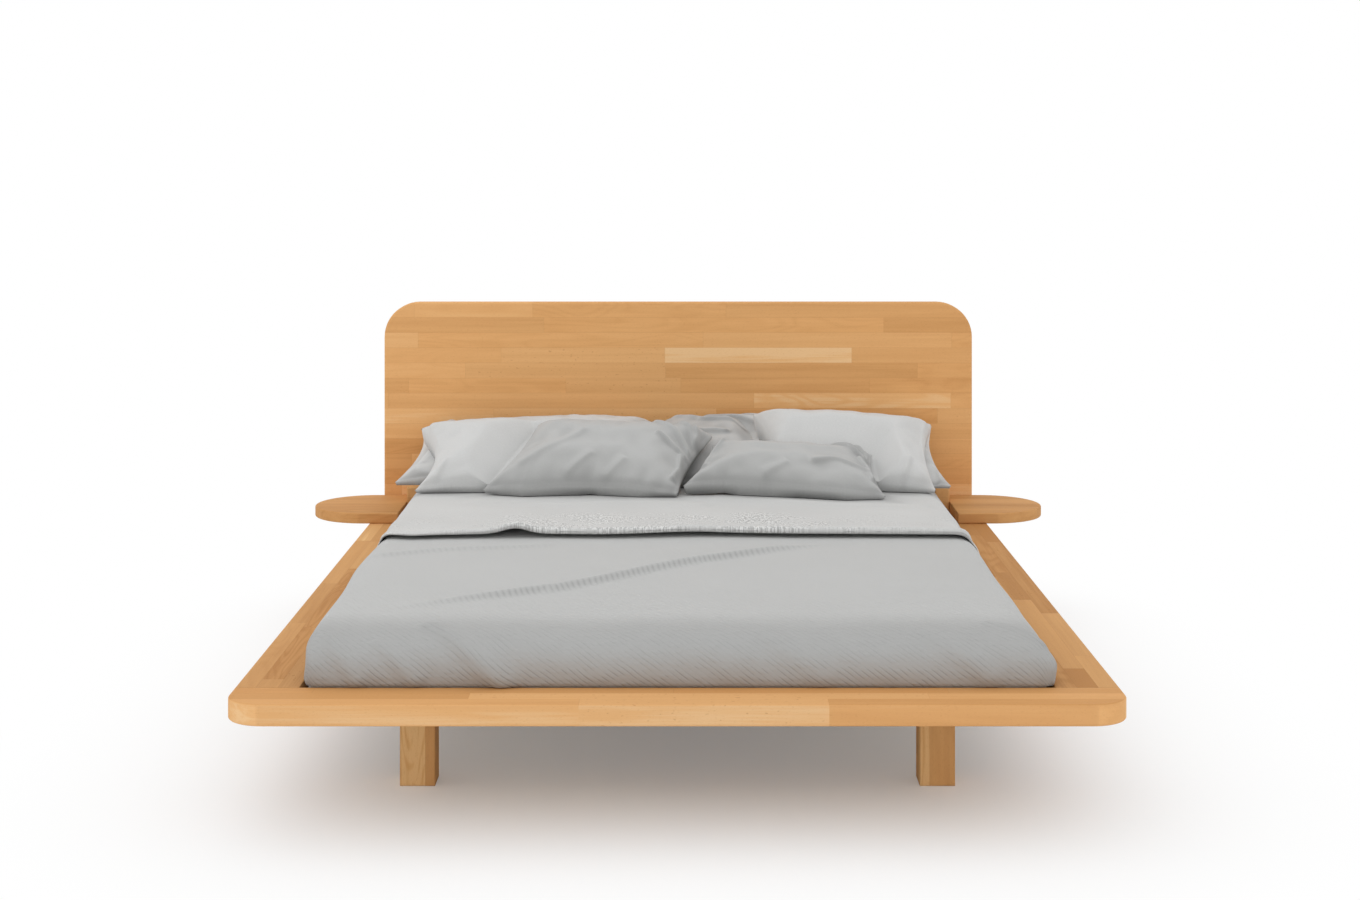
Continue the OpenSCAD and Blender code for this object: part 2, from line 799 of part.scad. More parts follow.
module mattress() {
    y0 = well_y + end_play;
    rings = [for (p = mattress_profile) [
        for (q = ring_plan(mattress_w / 2, y0, y0 + mattress_l, mattress_corner_r, p[0]))
            [q[0], q[1], p[1]]]];
    n = len(rings[0]);
    last = (len(rings) - 1) * n;
    color(ticking) polyhedron(
        points = flatten(rings),
        faces = concat(
            [[for (i = [0 : n - 1]) i]],
            flatten([for (j = [0 : len(rings) - 2], i = [0 : n - 1])
                let (a = j * n + i, b = j * n + (i + 1) % n, c = a + n, d = b + n)
                [[a, c, d], [a, d, b]]]),
            [[for (i = [n - 1 : -1 : 0]) last + i]]));
}

// Sheet of points over the bed, from its shoulder's inset and height pairs
function bed_sheet(half, foot, head, r, profile, reach, slack = 1) = concat(
    [for (p = profile) [for (q = u_plan(half, foot, head, r, p[0], slack)) [q[0], q[1], p[1]]]],
    [for (s = inner_rows)
        let (last = profile[len(profile) - 1], inset = last[0] + (reach - last[0]) * s)
        [for (q = u_plan(half, foot, head, r, inset, (slack - 1) * last[0] / inset + 1))
            [q[0], q[1], last[1]]]]);

module duvet() {
    reach = mattress_w / 2 - 1.5 * crown_r;
    over = bed_sheet(bed_side, bed_foot, bed_head, duvet_corner_r,
                     shoulder(duvet_shoulder, hem_z, duvet_z, duvet_blunt, shoulder_steps),
                     reach, duvet_foot_shoulder / duvet_shoulder);
    under = bed_sheet(mattress_w / 2 + soft_gap, well_y + end_play - soft_gap, bed_head,
                      mattress_corner_r + soft_gap,
                      [for (p = mattress_side) [p[0], p[1] + soft_gap]], reach);
    color(duvet_grey) between_sheets(over, under, bridged = true);
}

// Section of the turned-back part, from its left hem over the bed to its right hem
function turn_section(swell) =
    let (half = bed_side + swell,
         side = shoulder(duvet_shoulder, hem_z + swell, duvet_z + swell, duvet_blunt,
                         shoulder_steps),
         last = len(side) - 1,
         crest = half - side[last][0])
    concat([for (p = side) [p[0] - half, p[1]]],
           line([-crest, side[last][1]], [crest, side[last][1]], foot_steps),
           [for (i = [last : -1 : 0]) [half - side[i][0], side[i][1]]]);

// Rows of points from the hem, which waves, lifts a little and is rolled, to the head edge
function turn_sheet(swell, rolled) =
    let (hem = face_y - turn_l, head = bed_head - turn_step)
    [for (j = [0 : hem_rows])
        let (s = pow(j / hem_rows, 2), free = pow(1 - s, 12), thick = rolled * pow(1 - s, 30)) [
        for (q = turn_section(swell))
            [q[0], hem + (head - hem) * s - turn_wave * sin(q[0] * 0.5) * free,
             q[1] + turn_wave * exp(-pow((q[0] - lift_x) / lift_w, 2)) * free + thick]]];

module turned_back_sheet() {
    color(linen_grey)
        between_sheets(turn_sheet(soft_gap + turn_t, turn_hem), turn_sheet(soft_gap, 0));
}

// Pillows

// How much of its full thickness a pillow has at a place between its seams
function plump(u, v) =
    pow((1 - pow(abs(u), plump_blunt)) * (1 - pow(abs(v), plump_blunt)), plump_round);

// Point between four corners, with the sides drawn in between them, and the rear edge
// raised to a crest
function on_seams(c, crest, u, v) =
    let (p = (1 + u * (1 - draw_in * (1 - v * v))) / 2, q = (1 + v * (1 - draw_in * (1 - u * u))) / 2)
    (c[0] * (1 - p) + c[1] * p) * (1 - q) + (c[3] * (1 - p) + c[2] * p) * q
    + [0, 0, crest * sqrt(1 - pow(u, 4)) * q * q];

// Height at y of the slope along which one row of pillows leans on the row behind it
function slope_z(slope, y) =
    bed_z + (slope[0] * pillow_reach - face_y + y) * slope[1] * pillow_rise / pillow_reach;

// Keeps a point of a pillow above the bed and the slope behind the pillow, below the slope
// in front of it, and off the headboard
function rested(p, behind, ahead) =
    let (y = min(p[1], face_y - soft_gap),
         low = max(pillow_rest, slope_z(behind, y) + soft_gap / 2),
         high = slope_z(ahead, y) - soft_gap / 2)
    [p[0], y, max(low, min(p[2], high))];

// Corners in order: lower left, lower right, upper right, upper left. Each has its place
// across the bed as a share of the mattress, its distance from the headboard as a share of
// the reach and its height above the bedding as a share of the rise, as the crest is.
// The under side sinks from the seams onto the bed and the slope behind.
module pillow(corners, crest, fill, behind, ahead) {
    c = [for (p = corners)
        [p[0] * mattress_w, face_y - p[1] * pillow_reach, bed_z + p[2] * pillow_rise]];
    top = crest * pillow_rise;
    n = pillow_normal(c);
    us = across_steps(18);
    vs = across_steps(12);
    upper = [for (v = vs) [for (u = us)
        rested(on_seams(c, top, u, v) + n * (fill * plump(u, v) + soft_gap), behind, ahead)]];
    lower = [for (v = vs) [for (u = us)
        let (p = on_seams(c, top, u, v))
        rested([p[0], p[1], p[2] - sink_depth * pow(plump(u, v), 0.5)], behind, ahead)]];
    between_sheets(upper, lower);
}

// Places across a pillow, closer together near its seams
function across_steps(n) = [for (i = [0 : n]) sin(180 * i / n - 90)];

function pillow_normal(c) = let (n = cross(c[2] - c[0], c[3] - c[1])) n / norm(n);

module pillow_back_left() {
    color(linen_grey) pillow(
        [[-0.54, 0.857, 0.066], [-0.053, 0.914, 0.092], [-0.048, 0.086, 0.97], [-0.508, 0.097, 0.867]],
        0.2, pillow_fill * less_full, flat, back_lean);
}

module pillow_back_right() {
    color(linen_grey) pillow(
        [[-0.043, 0.971, 0.092], [0.516, 1.014, 0.054], [0.505, 0.097, 0.946], [-0.041, 0.086, 1.023]],
        0.09, pillow_fill * less_full, flat, back_lean);
}

module pillow_front_left() {
    color(linen_grey) pillow(
        [[-0.49, 1.229, 0.063], [-0.093, 1.171, 0.092], [-0.086, 0.457, 1], [-0.474, 0.514, 0.85]],
        0.22, pillow_fill, back_lean, front_lean);
}

module pillow_front_right() {
    color(linen_grey) pillow(
        [[0.186, 1.086, 0.23], [0.48, 1.229, 0.062], [0.495, 0.4, 1.082], [0.146, 0.4, 1.293]],
        0.09, pillow_fill, back_lean, front_lean);
}

module cushion_left() {
    color(cushion_grey) pillow(
        [[-0.362, 1.286, 0.098], [-0.001, 1.4, 0.068], [0.066, 0.743, 0.935], [-0.275, 0.657, 1.069]],
        0.2, cushion_fill, front_lean, open_air);
}

module cushion_right() {
    color(cushion_grey) pillow(
        [[0.01, 1.3, 0.194], [0.38, 1.514, 0.065], [0.367, 0.943, 0.662], [0.066, 0.829, 0.802]],
        0.03, cushion_fill * less_full, front_lean, open_air);
}

foot_rail();
side_rail_left();
side_rail_right();
headboard();
headboard_block_left();
headboard_block_right();
shelf_left();
shelf_right();
apron_left();
apron_right();
ledger_left();
ledger_right();
head_rail();
cross_beam_foot();
cross_beam_head();
centre_beam();
leg_foot_left();
leg_foot_right();
leg_head_left();
leg_head_right();
centre_leg();
for (i = [1 : slat_count]) slat(i);
dowels();
corner_plates();
plate_screws();
leg_bolts();
beam_screws();
headboard_bolts();
shelf_screws();
apron_screws();
ledger_screws();
slat_screws();
mattress();
duvet();
turned_back_sheet();
pillow_back_left();
pillow_back_right();
pillow_front_left();
pillow_front_right();
cushion_left();
cushion_right();
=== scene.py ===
# %% [markdown]
# # A wooden bed, dressed for a studio picture
# The bed arrives from CAD as a fixed frame: every board, leg, slat and screw is where it
# belongs. This notebook gives the wood its staves and grain, puts real screws where CAD has
# plain pins, and makes the bedding, which CAD only holds as coarse solids.

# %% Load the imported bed
import math
from functools import partialmethod

import bpy
import bmesh
import numpy as np
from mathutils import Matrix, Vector


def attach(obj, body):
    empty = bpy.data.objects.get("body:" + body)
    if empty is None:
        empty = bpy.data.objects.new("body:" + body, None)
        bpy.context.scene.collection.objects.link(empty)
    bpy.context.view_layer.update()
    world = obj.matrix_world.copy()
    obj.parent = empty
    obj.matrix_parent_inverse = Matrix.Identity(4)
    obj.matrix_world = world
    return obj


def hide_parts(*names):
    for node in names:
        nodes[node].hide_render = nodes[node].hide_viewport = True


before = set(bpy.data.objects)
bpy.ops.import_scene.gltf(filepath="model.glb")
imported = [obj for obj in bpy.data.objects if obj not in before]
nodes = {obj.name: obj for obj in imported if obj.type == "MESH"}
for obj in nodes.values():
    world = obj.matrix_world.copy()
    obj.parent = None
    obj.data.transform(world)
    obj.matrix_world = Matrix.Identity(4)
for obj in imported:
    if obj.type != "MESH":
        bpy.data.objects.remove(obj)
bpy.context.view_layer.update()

print("nodes in the frame:", len(nodes))

# %% [markdown]
# ## The camera
# The picture is taken from the foot of the bed, a little above a seated person's eyes.
# The camera looks level, so upright edges stay upright, and a lens shift brings the bed
# down into the frame. That is how furniture is usually photographed.

# %% Camera
def placed(name, data):
    """A new object in the scene."""
    thing = bpy.data.objects.new(name, data)
    bpy.context.scene.collection.objects.link(thing)
    return thing


camera = placed("studio_camera", bpy.data.cameras.new("studio_camera"))
camera.location = (0.005, -4.9295, 1.2717)
camera.rotation_euler = (math.radians(90), 0, 0)
camera.data.sensor_fit = "HORIZONTAL"
camera.data.sensor_width = 36.0
camera.data.lens = 56.34
camera.data.shift_y = -0.2247
camera.data.clip_end = 60.0
bpy.context.scene.camera = camera

# %% [markdown]
# ## Working with nodes
# Materials and geometry trees are both made of nodes. A few small helpers keep the cells
# short: one adds a node and fills its inputs in order, one mixes two colours, and one
# stretches a noise along the grain. A Flow is a value on its way through a tree, and
# arithmetic on it adds Math nodes, so that a formula reads like a formula.

# %% Node helpers
def plug(value, socket):
    """Links an output to a socket, or writes a plain value into it."""
    value = getattr(value, "socket", value)
    if isinstance(value, bpy.types.NodeSocket):
        socket.id_data.links.new(value, socket)
    elif value is not None:
        socket.default_value = value


def add(tree, kind, *inputs, **settings):
    """Adds a node and fills its inputs in order."""
    n = tree.nodes.new(kind)
    for name, value in settings.items():
        setattr(n, name, value)
    for socket, value in zip(n.inputs, inputs):
        plug(value, socket)
    return n


def fill(node, **values):
    """Fills a node's inputs by name, and gives its outputs."""
    for name, value in values.items():
        plug(value, node.inputs[name.replace("_", " ")])
    return node.outputs


def flow(tree, kind, *inputs, result=0, **settings):
    """Adds a node and gives one of its outputs."""
    return Flow(add(tree, kind, *inputs, **settings).outputs[result])


class Flow:
    """A value on its way through a node tree."""

    def __init__(self, socket):
        self.socket, self.tree = socket, socket.id_data

    def maths(self, how, *others, clamp=False):
        return flow(self.tree, "ShaderNodeMath", self, *others, operation=how, use_clamp=clamp)

    __add__ = partialmethod(maths, "ADD")
    __sub__ = partialmethod(maths, "SUBTRACT")
    __mul__ = partialmethod(maths, "MULTIPLY")
    __truediv__ = partialmethod(maths, "DIVIDE")
    __abs__ = partialmethod(maths, "ABSOLUTE")


def tree_of(values):
    return next(value.tree for value in values if isinstance(value, Flow))


def flows(sockets):
    return {s.name: Flow(s) for s in sockets if s.name}


def parts(value, kind="XYZ"):
    """The three parts of a vector or a colour."""
    return [Flow(s) for s in add(value.tree, "ShaderNodeSeparate" + kind, value).outputs]


def combined(*xyz):
    return flow(tree_of(xyz), "ShaderNodeCombineXYZ", *xyz)


def vector_maths(how, *vectors, result=0):
    return flow(vectors[0].tree, "ShaderNodeVectorMath", *vectors, result=result, operation=how)


def band(value, *limits):
    """Maps a value from one range to another, easing in and out."""
    return flow(value.tree, "ShaderNodeMapRange", value, *limits, interpolation_type="SMOOTHSTEP")


def blend_colour(how, amount, first, second):
    values = (amount, first, second)
    n = add(tree_of(values), "ShaderNodeMix", data_type="RGBA", blend_type=how, clamp_factor=True)
    for value, k in zip(values, (0, 6, 7)):
        plug(value, n.inputs[k])
    return Flow(n.outputs[2])


def ramp(value, *stops):
    n = add(value.tree, "ShaderNodeValToRGB", value)
    while len(n.color_ramp.elements) < len(stops):
        n.color_ramp.elements.new(0.5)
    for element, (place, colour) in zip(n.color_ramp.elements, stops):
        element.position = place
        element.color = (*colour, 1)
    return Flow(n.outputs[0])


def noise(vector, stretch, detail=2.0, roughness=0.5, offset=None, distortion=0.0):
    """Noise whose cells are stretched, so that it can run along a grain or a thread."""
    vector = vector_maths("MULTIPLY", vector, stretch)
    if offset is not None:
        vector = vector_maths("ADD", vector, offset)
    n = add(vector.tree, "ShaderNodeTexNoise", vector)
    return Flow(fill(n, Scale=1.0, Detail=detail, Roughness=roughness, Distortion=distortion)[0])


def white_noise(*xyz):
    """A random value and a random colour for each whole-numbered place."""
    return [Flow(s) for s in add(tree_of(xyz), "ShaderNodeTexWhiteNoise", combined(*xyz)).outputs]


def object_space(tree):
    return flow(tree, "ShaderNodeTexCoord", result="Object")


def new_tree(kind, name, inputs, outputs):
    """A node tree with named sockets. A socket is told by its kind, or by its starting value."""
    tree = bpy.data.node_groups.new(name, kind + "NodeTree")
    for way, sockets in (("INPUT", inputs), ("OUTPUT", outputs)):
        for label, value in sockets.items():
            number = isinstance(value, float)
            s = tree.interface.new_socket(label.replace("_", " "), in_out=way,
                                          socket_type="NodeSocket" + ("Float" if number else value))
            if number:
                s.default_value = value
    return tree, flows(tree.nodes.new("NodeGroupInput").outputs), tree.nodes.new("NodeGroupOutput")


def new_group(name, inputs, **outputs):
    print("shader group:", name)
    return new_tree("Shader", name, inputs, outputs)


def place_group(tree, group, **values):
    return flows(fill(add(tree, "ShaderNodeGroup", node_tree=group), **values))


def new_material(name):
    material = bpy.data.materials.new(name)
    material.use_nodes = True
    tree = material.node_tree
    return material, tree, tree.nodes["Principled BSDF"]


print("node helpers ready")

# %% [markdown]
# ## Glued staves
# The boards are solid beech glued up from staves: rows about 40 mm wide, each made of
# shorter lengths joined end to end. A group works out which stave a point lies on. It
# numbers the rows, gives each row its own stave length and offset, numbers the staves along
# it, and moves each joint a little, so that no two staves are equally long. White noise then
# turns those numbers into a tone for each stave.

# %% Shader group: staves
staves, i, out = new_group("glued staves", dict(Vector="Vector", Width=0.04, Length=0.4, Seed=0.0),
                           Tone="Float", Tint="Float", Joint="Float", Offset="Vector")
x, y, _ = parts(i["Vector"])
rows = y / i["Width"]
row = rows.maths("FLOOR")
row_value, row_colour = white_noise(row, i["Seed"], 3.7)
row_length = i["Length"] * (row_value * 0.6 + 0.7)
along = x / row_length + parts(row_colour, "Color")[0] * 9.0
cell = along.maths("FLOOR")
jitter, _ = white_noise(cell, row, i["Seed"] + 0.37)
past_joint = along.maths("FRACT") - jitter * 0.6
stave = cell - past_joint.maths("LESS_THAN", 0.0)
tone, colour = white_noise(stave, row, i["Seed"])
row_gap = (abs(rows.maths("FRACT") - 0.5) - 0.5) * i["Width"] * -1.0
end_gap = abs(past_joint) * row_length
fill(out, Tone=tone, Tint=parts(colour, "Color")[1], Offset=vector_maths("MULTIPLY", colour, (7.0, 5.0, 3.0)),
     Joint=band(row_gap.maths("MINIMUM", end_gap), 0.0002, 0.0010, 1.0, 0.0))

# %% [markdown]
# ## Grain
# Beech has a quiet figure: long soft streaks, now and then an arch of growth rings, and
# short dark flecks. All of them are noise stretched along the grain. Each stave moves the
# noise by its own offset, so the figure stops at a joint as it does in real glued wood.
# Only some staves are cut so that they show arches or flecks, and the tint picks those.

# %% Shader group: grain
grain, i, out = new_group("beech grain", dict(Vector="Vector", Offset="Vector", Tint=0.5),
                          Streak="Float", Ring="Float", Fleck="Float", Height="Float")
place, offset, tint = i["Vector"], i["Offset"], i["Tint"]
broad = noise(place, (1.5, 36.0, 36.0), 3.0, 0.55, offset, 0.35)
fine = noise(place, (5.0, 190.0, 190.0), 4.0, 0.6, offset)
arches = noise(place, (2.6, 15.0, 15.0), 1.0, 0.5, offset, 0.4)
ring = ((arches * 62.0).maths("SINE") * 0.5 + 0.5).maths("POWER", 2.0)
fleck = band(noise(place, (150.0, 620.0, 620.0), 1.0), 0.60, 0.70, 0.0, 1.0)
spots = band(noise(place, (85.0, 170.0, 170.0), 1.0), 0.68, 0.74, 0.0, 1.0) * band(tint, 0.2, 0.14, 0.0, 1.0)
fill(out, Streak=fine * 0.34 + broad * 0.66, Ring=ring * band(tint, 0.55, 0.8, 0.1, 1.0),
     Fleck=(fleck * 0.4).maths("ADD", spots, clamp=True), Height=fleck * -0.6 + fine)

# %% [markdown]
# ## Eased edges
# Every board was sanded round along its edges before it was oiled. Hands and feet then
# polish those edges, so they turn a little paler and smoother. A Bevel node gives the
# normal of such a rounded edge. Where it differs from the face's own normal, there is wear.

# %% Shader group: edges
eased, i, out = new_group("eased edge", dict(Radius=0.006), Normal="Vector", Wear="Float")
rounded = flow(eased, "ShaderNodeBevel", i["Radius"], samples=6)
flat_normal = flow(eased, "ShaderNodeNewGeometry", result="True Normal")
turned = vector_maths("DOT_PRODUCT", rounded, flat_normal, result="Value")
fill(out, Normal=rounded, Wear=band(turned, 0.97, 0.80, 0.0, 1.0))

# %% [markdown]
# ## Beech materials
# Every board uses the same three groups, turned so that the grain runs along the board.
# Only the direction, the widths, the seed and the tones change, so one function makes them
# all. The boards that face the foot end get painted front light: a lighter ramp, and on the
# foot board faces that stand upright are lighter than its top. The oil finish is thin: it
# deepens the colour and leaves a soft sheen.

# %% Beech
BEECH = [(0.0, (0.500, 0.245, 0.086)), (0.22, (0.590, 0.312, 0.122)), (0.55, (0.665, 0.368, 0.152)),
         (0.86, (0.730, 0.422, 0.180)), (1.0, (0.830, 0.550, 0.270))]
# The second ramp is the first made about a fifth lighter: painted front light for the boards that face the foot end.
FRONT_LIT_BEECH = [(0.0, (0.650, 0.340, 0.130)), (0.22, (0.720, 0.390, 0.158)), (0.55, (0.790, 0.445, 0.190)),
        (0.86, (0.835, 0.495, 0.225)), (1.0, (0.870, 0.570, 0.300))]
BIRCH = [(0.0, (0.640, 0.450, 0.250)), (0.6, (0.740, 0.550, 0.330)), (1.0, (0.800, 0.620, 0.400))]
WARM, FLECK, GLUE = (1.0, 0.94, 0.86, 1), (0.62, 0.47, 0.36, 1), (0.5, 0.36, 0.26, 1)


def beech(name, along, across, width, length, seed, start, tones=BEECH, lift=0.0, upright=0.0, spread=1.0):
    """Oiled wood whose grain runs along one axis and whose rows are stacked along another."""
    material, tree, shader = new_material(name)
    place = dict(zip("XYZ", parts(object_space(tree))))
    third = (set("XYZ") - {along, across}).pop()
    vector = combined(place[along], place[across] - start, place[third])
    stave = place_group(tree, staves, Vector=vector, Width=width, Length=length, Seed=seed)
    figure = place_group(tree, grain, Vector=vector, Offset=stave["Offset"], Tint=stave["Tint"])
    edge = place_group(tree, eased)
    tone = (figure["Streak"] - 0.5) * 1.1 + (stave["Tone"] * spread + (0.5 - spread / 2))
    tone = figure["Ring"] * -0.13 + tone + lift
    # Painted front light: faces that stand upright are made lighter than faces that look up.
    if upright:
        up = parts(flow(tree, "ShaderNodeNewGeometry", result="Normal"))[2]
        tone = band(abs(up), 0.9, 0.4) * upright + tone
    colour = ramp((edge["Wear"] * 0.14).maths("ADD", tone, clamp=True), *tones)
    colour = blend_colour("MIX", stave["Tint"] * 0.6, colour, blend_colour("MULTIPLY", 1.0, colour, WARM))
    colour = blend_colour("MULTIPLY", figure["Fleck"] * 0.45, colour, FLECK)
    colour = blend_colour("MULTIPLY", stave["Joint"] * 0.16, colour, GLUE)
    bump = fill(add(tree, "ShaderNodeBump"), Strength=0.12, Distance=0.0006,
                Height=figure["Height"] - stave["Joint"], Normal=edge["Normal"])[0]
    fill(shader, Base_Color=colour, Roughness=edge["Wear"] * -0.08 + (figure["Streak"] * 0.2 + 0.58),
         Specular_IOR_Level=0.08, Normal=bump)
    return material


def dress(material, *names):
    """Gives CAD nodes a material through their own slots; their meshes stay as they are."""
    for name in names:
        for slot in nodes[name].material_slots:
            slot.material = material


foot_y, inner_x, row_w = -1.0865, 0.704, 0.121 / 3
dress(beech("foot_board_beech", "X", "Y", row_w, 0.62, 4.0, foot_y, FRONT_LIT_BEECH, lift=-0.34, upright=0.58, spread=0.55),
      "foot_rail")
dress(beech("left_board_beech", "Y", "X", row_w, 0.62, 11.0, -inner_x, spread=0.8), "side_rail_left")
dress(beech("right_board_beech", "Y", "X", row_w, 0.62, 23.0, inner_x, lift=-0.32, spread=0.8), "side_rail_right")
dress(beech("headboard_beech", "X", "Z", 0.0425, 0.60, 5.0, 0.8285, FRONT_LIT_BEECH, lift=0.08, spread=0.9), "headboard")
dress(beech("shelf_beech", "X", "Y", 0.075, 1.1, 6.0, 0.7465, lift=-0.16, spread=0.5), "shelf_left", "shelf_right")
dress(beech("block_beech", "Y", "Z", 0.04, 0.5, 31.0, 0.26), "headboard_block_left", "headboard_block_right")
dress(beech("leg_beech", "Z", "X", 0.2, 3.0, 14.0, 0.1, lift=0.12), "leg_foot_left", "leg_foot_right",
      "leg_head_left", "leg_head_right", "centre_leg")
dress(beech("apron_beech", "Y", "Z", 0.08, 1.1, 17.0, 0.14), "apron_left", "apron_right", "ledger_left",
      "ledger_right", "centre_beam")
dress(beech("cross_beam_beech", "X", "Z", 0.08, 0.9, 19.0, 0.12), "cross_beam_foot", "cross_beam_head", "head_rail")
slat_names = [name for name in nodes if name.startswith("slat_") and name != "slat_screws"]
dress(beech("slat_birch", "X", "Y", 0.1378, 3.0, 27.0, -0.9345, BIRCH), *slat_names)
dress(beech("dowel_beech", "Z", "X", 0.2, 1.0, 29.0, 0.0, BIRCH), "dowels")
print("wood materials:", len([m for m in bpy.data.materials if "beech" in m.name or "birch" in m.name]))

# %% [markdown]
# ## Plated steel
# The screws, bolts and corner plates are zinc plated. Zinc is a pale metal with a slightly
# cloudy shine, so noise drives the roughness and a little of the colour, and nothing else.

# %% Zinc
zinc, tree, shader = new_material("plated_steel")
cloud = noise(object_space(tree), (220.0, 220.0, 220.0), 3.0)
fill(shader, Base_Color=ramp(cloud, (0.3, (0.52, 0.53, 0.55)), (0.7, (0.70, 0.71, 0.72))), Metallic=1.0,
     Roughness=cloud * 0.3 + 0.2)
dress(zinc, "corner_plates")
print("metal:", zinc.name)

# %% [markdown]
# ## Screws and bolts
# CAD holds every fastening as a plain pin with a head. A real one has a hexagonal socket,
# and a bolt also has a nut. The same shape repeats over a hundred times, so it is made once
# in a Geometry Nodes tree and set out on points: one point for each pin, on top of its head.
# The tree's inputs are the sizes of that kind of fastening. A seeded random turn keeps the
# sockets from lining up, because nobody drives screws to the same angle.

# %% Geometry tree: fastening
def geometry_tree(name, **inputs):
    """An empty geometry tree that takes points or edges."""
    print("geometry tree:", name, "with inputs", [label.replace("_", " ") for label in inputs])
    return new_tree("Geometry", name, dict(Geometry="Geometry", **inputs), dict(Geometry="Geometry"))


def painted(shape, material, out):
    """Ends a geometry tree: real geometry with a material on it."""
    real = flow(out.id_data, "GeometryNodeRealizeInstances", shape)
    fill(out, Geometry=fill(add(out.id_data, "GeometryNodeSetMaterial", real), Material=material)[0])


fastening, i, out = geometry_tree("fastening", Head_Width=0.010, Head_Taper=0.5, Head_Height=0.0025, Shank_Width=0.005,
                                  Length=0.03, Socket_Width=0.004, Nut_Width=0.0, Nut_Place=0.0, Nut_Height=0.0,
                                  Seed="Int", Finish="Material")
head_r, shank_r, socket_r, nut_r = (i[name + " Width"] * 0.5 for name in ("Head", "Shank", "Socket", "Nut"))
head_h = i["Head Height"]


def turned_down(sides, top_r, low_r, depth, drop):
    """A closed cone or cylinder that hangs down from the height -drop."""
    shape = fill(add(fastening, "GeometryNodeMeshCone"), Vertices=sides, Radius_Top=top_r, Radius_Bottom=low_r,
                 Depth=depth)["Mesh"]
    down = combined(0.0, 0.0, (depth + drop) * -1.0)
    return fill(add(fastening, "GeometryNodeTransform", shape), Translation=down)[0]


head = turned_down(20, head_r, head_r * i["Head Taper"], head_h, 0.0)
shank = turned_down(12, shank_r, shank_r, i["Length"] - head_h, head_h)
socket = turned_down(6, socket_r, socket_r, head_h, head_h * -0.3)
nut = turned_down(6, nut_r, nut_r, i["Nut Height"], i["Nut Place"])
cut = flow(fastening, "GeometryNodeMeshBoolean", head, socket, operation="DIFFERENCE", solver="EXACT")
nut_wanted = i["Nut Width"].maths("GREATER_THAN", 0.0)
has_nut = fill(add(fastening, "GeometryNodeSwitch", input_type="GEOMETRY"), Switch=nut_wanted, **{"True": nut})[0]
whole = add(fastening, "GeometryNodeJoinGeometry")
for shape in (cut, shank, has_nut):
    plug(shape, whole.inputs[0])
way = fill(add(fastening, "GeometryNodeInputNamedAttribute", data_type="FLOAT_VECTOR"), Name="outward")[0]
upright = fill(add(fastening, "FunctionNodeAlignRotationToVector", axis="Z"), Vector=way)[0]
turn = add(fastening, "FunctionNodeRandomValue", data_type="FLOAT")
next(s for s in reversed(turn.inputs) if s.name == "Max" and s.type == "VALUE").default_value = math.tau
plug(i["Seed"], turn.inputs["Seed"])
spin = fill(add(fastening, "FunctionNodeAxisAngleToRotation"), Angle=turn.outputs[1])[0]
both = flow(fastening, "FunctionNodeRotateRotation", upright, spin, rotation_space="LOCAL")
pins = fill(add(fastening, "GeometryNodeInstanceOnPoints"), Points=i["Geometry"], Instance=whole.outputs[0],
            Rotation=both)[0]
painted(pins, i["Finish"], out)

# %% [markdown]
# ## Finding the pins
# A CAD node holds all its pins in one mesh. They are told apart as islands of connected
# points. The wider end of an island is the head, and one point on top of it, with the
# direction in which it faces, is all that the tree needs.

# %% Where the pins are
HAIR = 0.0002


def baked(name, mesh, tree, **values):
    """Runs a geometry tree on a mesh and keeps the result as a plain mesh object."""
    holder = placed(name + "_points", mesh)
    run = holder.modifiers.new("tree", "NODES")
    run.node_group = tree
    keys = {s.name: s.identifier for s in tree.interface.items_tree if s.in_out == "INPUT"}
    for label, value in values.items():
        run[keys[label.replace("_", " ")]] = value
    ready = holder.evaluated_get(bpy.context.evaluated_depsgraph_get())
    result = bpy.data.meshes.new_from_object(ready)
    bpy.data.objects.remove(holder)
    return placed(name, result)


def islands(node):
    """The separate solids of a CAD node, each as an array of its points."""
    shape = bmesh.new()
    shape.from_mesh(nodes[node].data)
    bmesh.ops.remove_doubles(shape, verts=shape.verts, dist=0.00001)
    left, found = set(shape.verts), []
    while left:
        edge, points = [left.pop()], []
        while edge:
            v = edge.pop()
            points.append(tuple(v.co))
            for e in v.link_edges:
                other = e.other_vert(v)
                if other in left:
                    left.remove(other)
                    edge.append(other)
        found.append(np.array(points))
    shape.free()
    return sorted(found, key=lambda p: tuple(p.mean(0).round(4)))


def head_of(points):
    """Top of a pin's head and the direction that the head faces."""
    low, high = points.min(0), points.max(0)
    axis = int(np.argmax(high - low))
    centre = (low + high) / 2
    reach = np.linalg.norm(np.delete(points - centre, axis, axis=1), axis=1)
    near = [reach[np.abs(points[:, axis] - end[axis]) < HAIR].max() for end in (low, high)]
    top, outward = centre.copy(), np.zeros(3)
    top[axis], outward[axis] = (high[axis], 1) if near[1] > near[0] else (low[axis], -1)
    return top, outward, high[axis] - low[axis]


def fasten(node, seed, **sizes):
    """Puts the tree's fastenings in the place of a node's plain pins."""
    found = [head_of(points) for points in islands(node)]
    mesh = bpy.data.meshes.new(node)
    mesh.from_pydata([tuple(top) for top, _, _ in found], [], [])
    outward = mesh.attributes.new("outward", "FLOAT_VECTOR", "POINT")
    outward.data.foreach_set("vector", np.array([way for _, way, _ in found]).ravel())
    piece = baked(node + "_fitted", mesh, fastening, Seed=seed, Finish=zinc, Length=float(found[0][2]), **sizes)
    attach(piece, "root")
    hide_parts(node)
    print(node, len(found), "pieces,", len(piece.data.polygons), "faces")


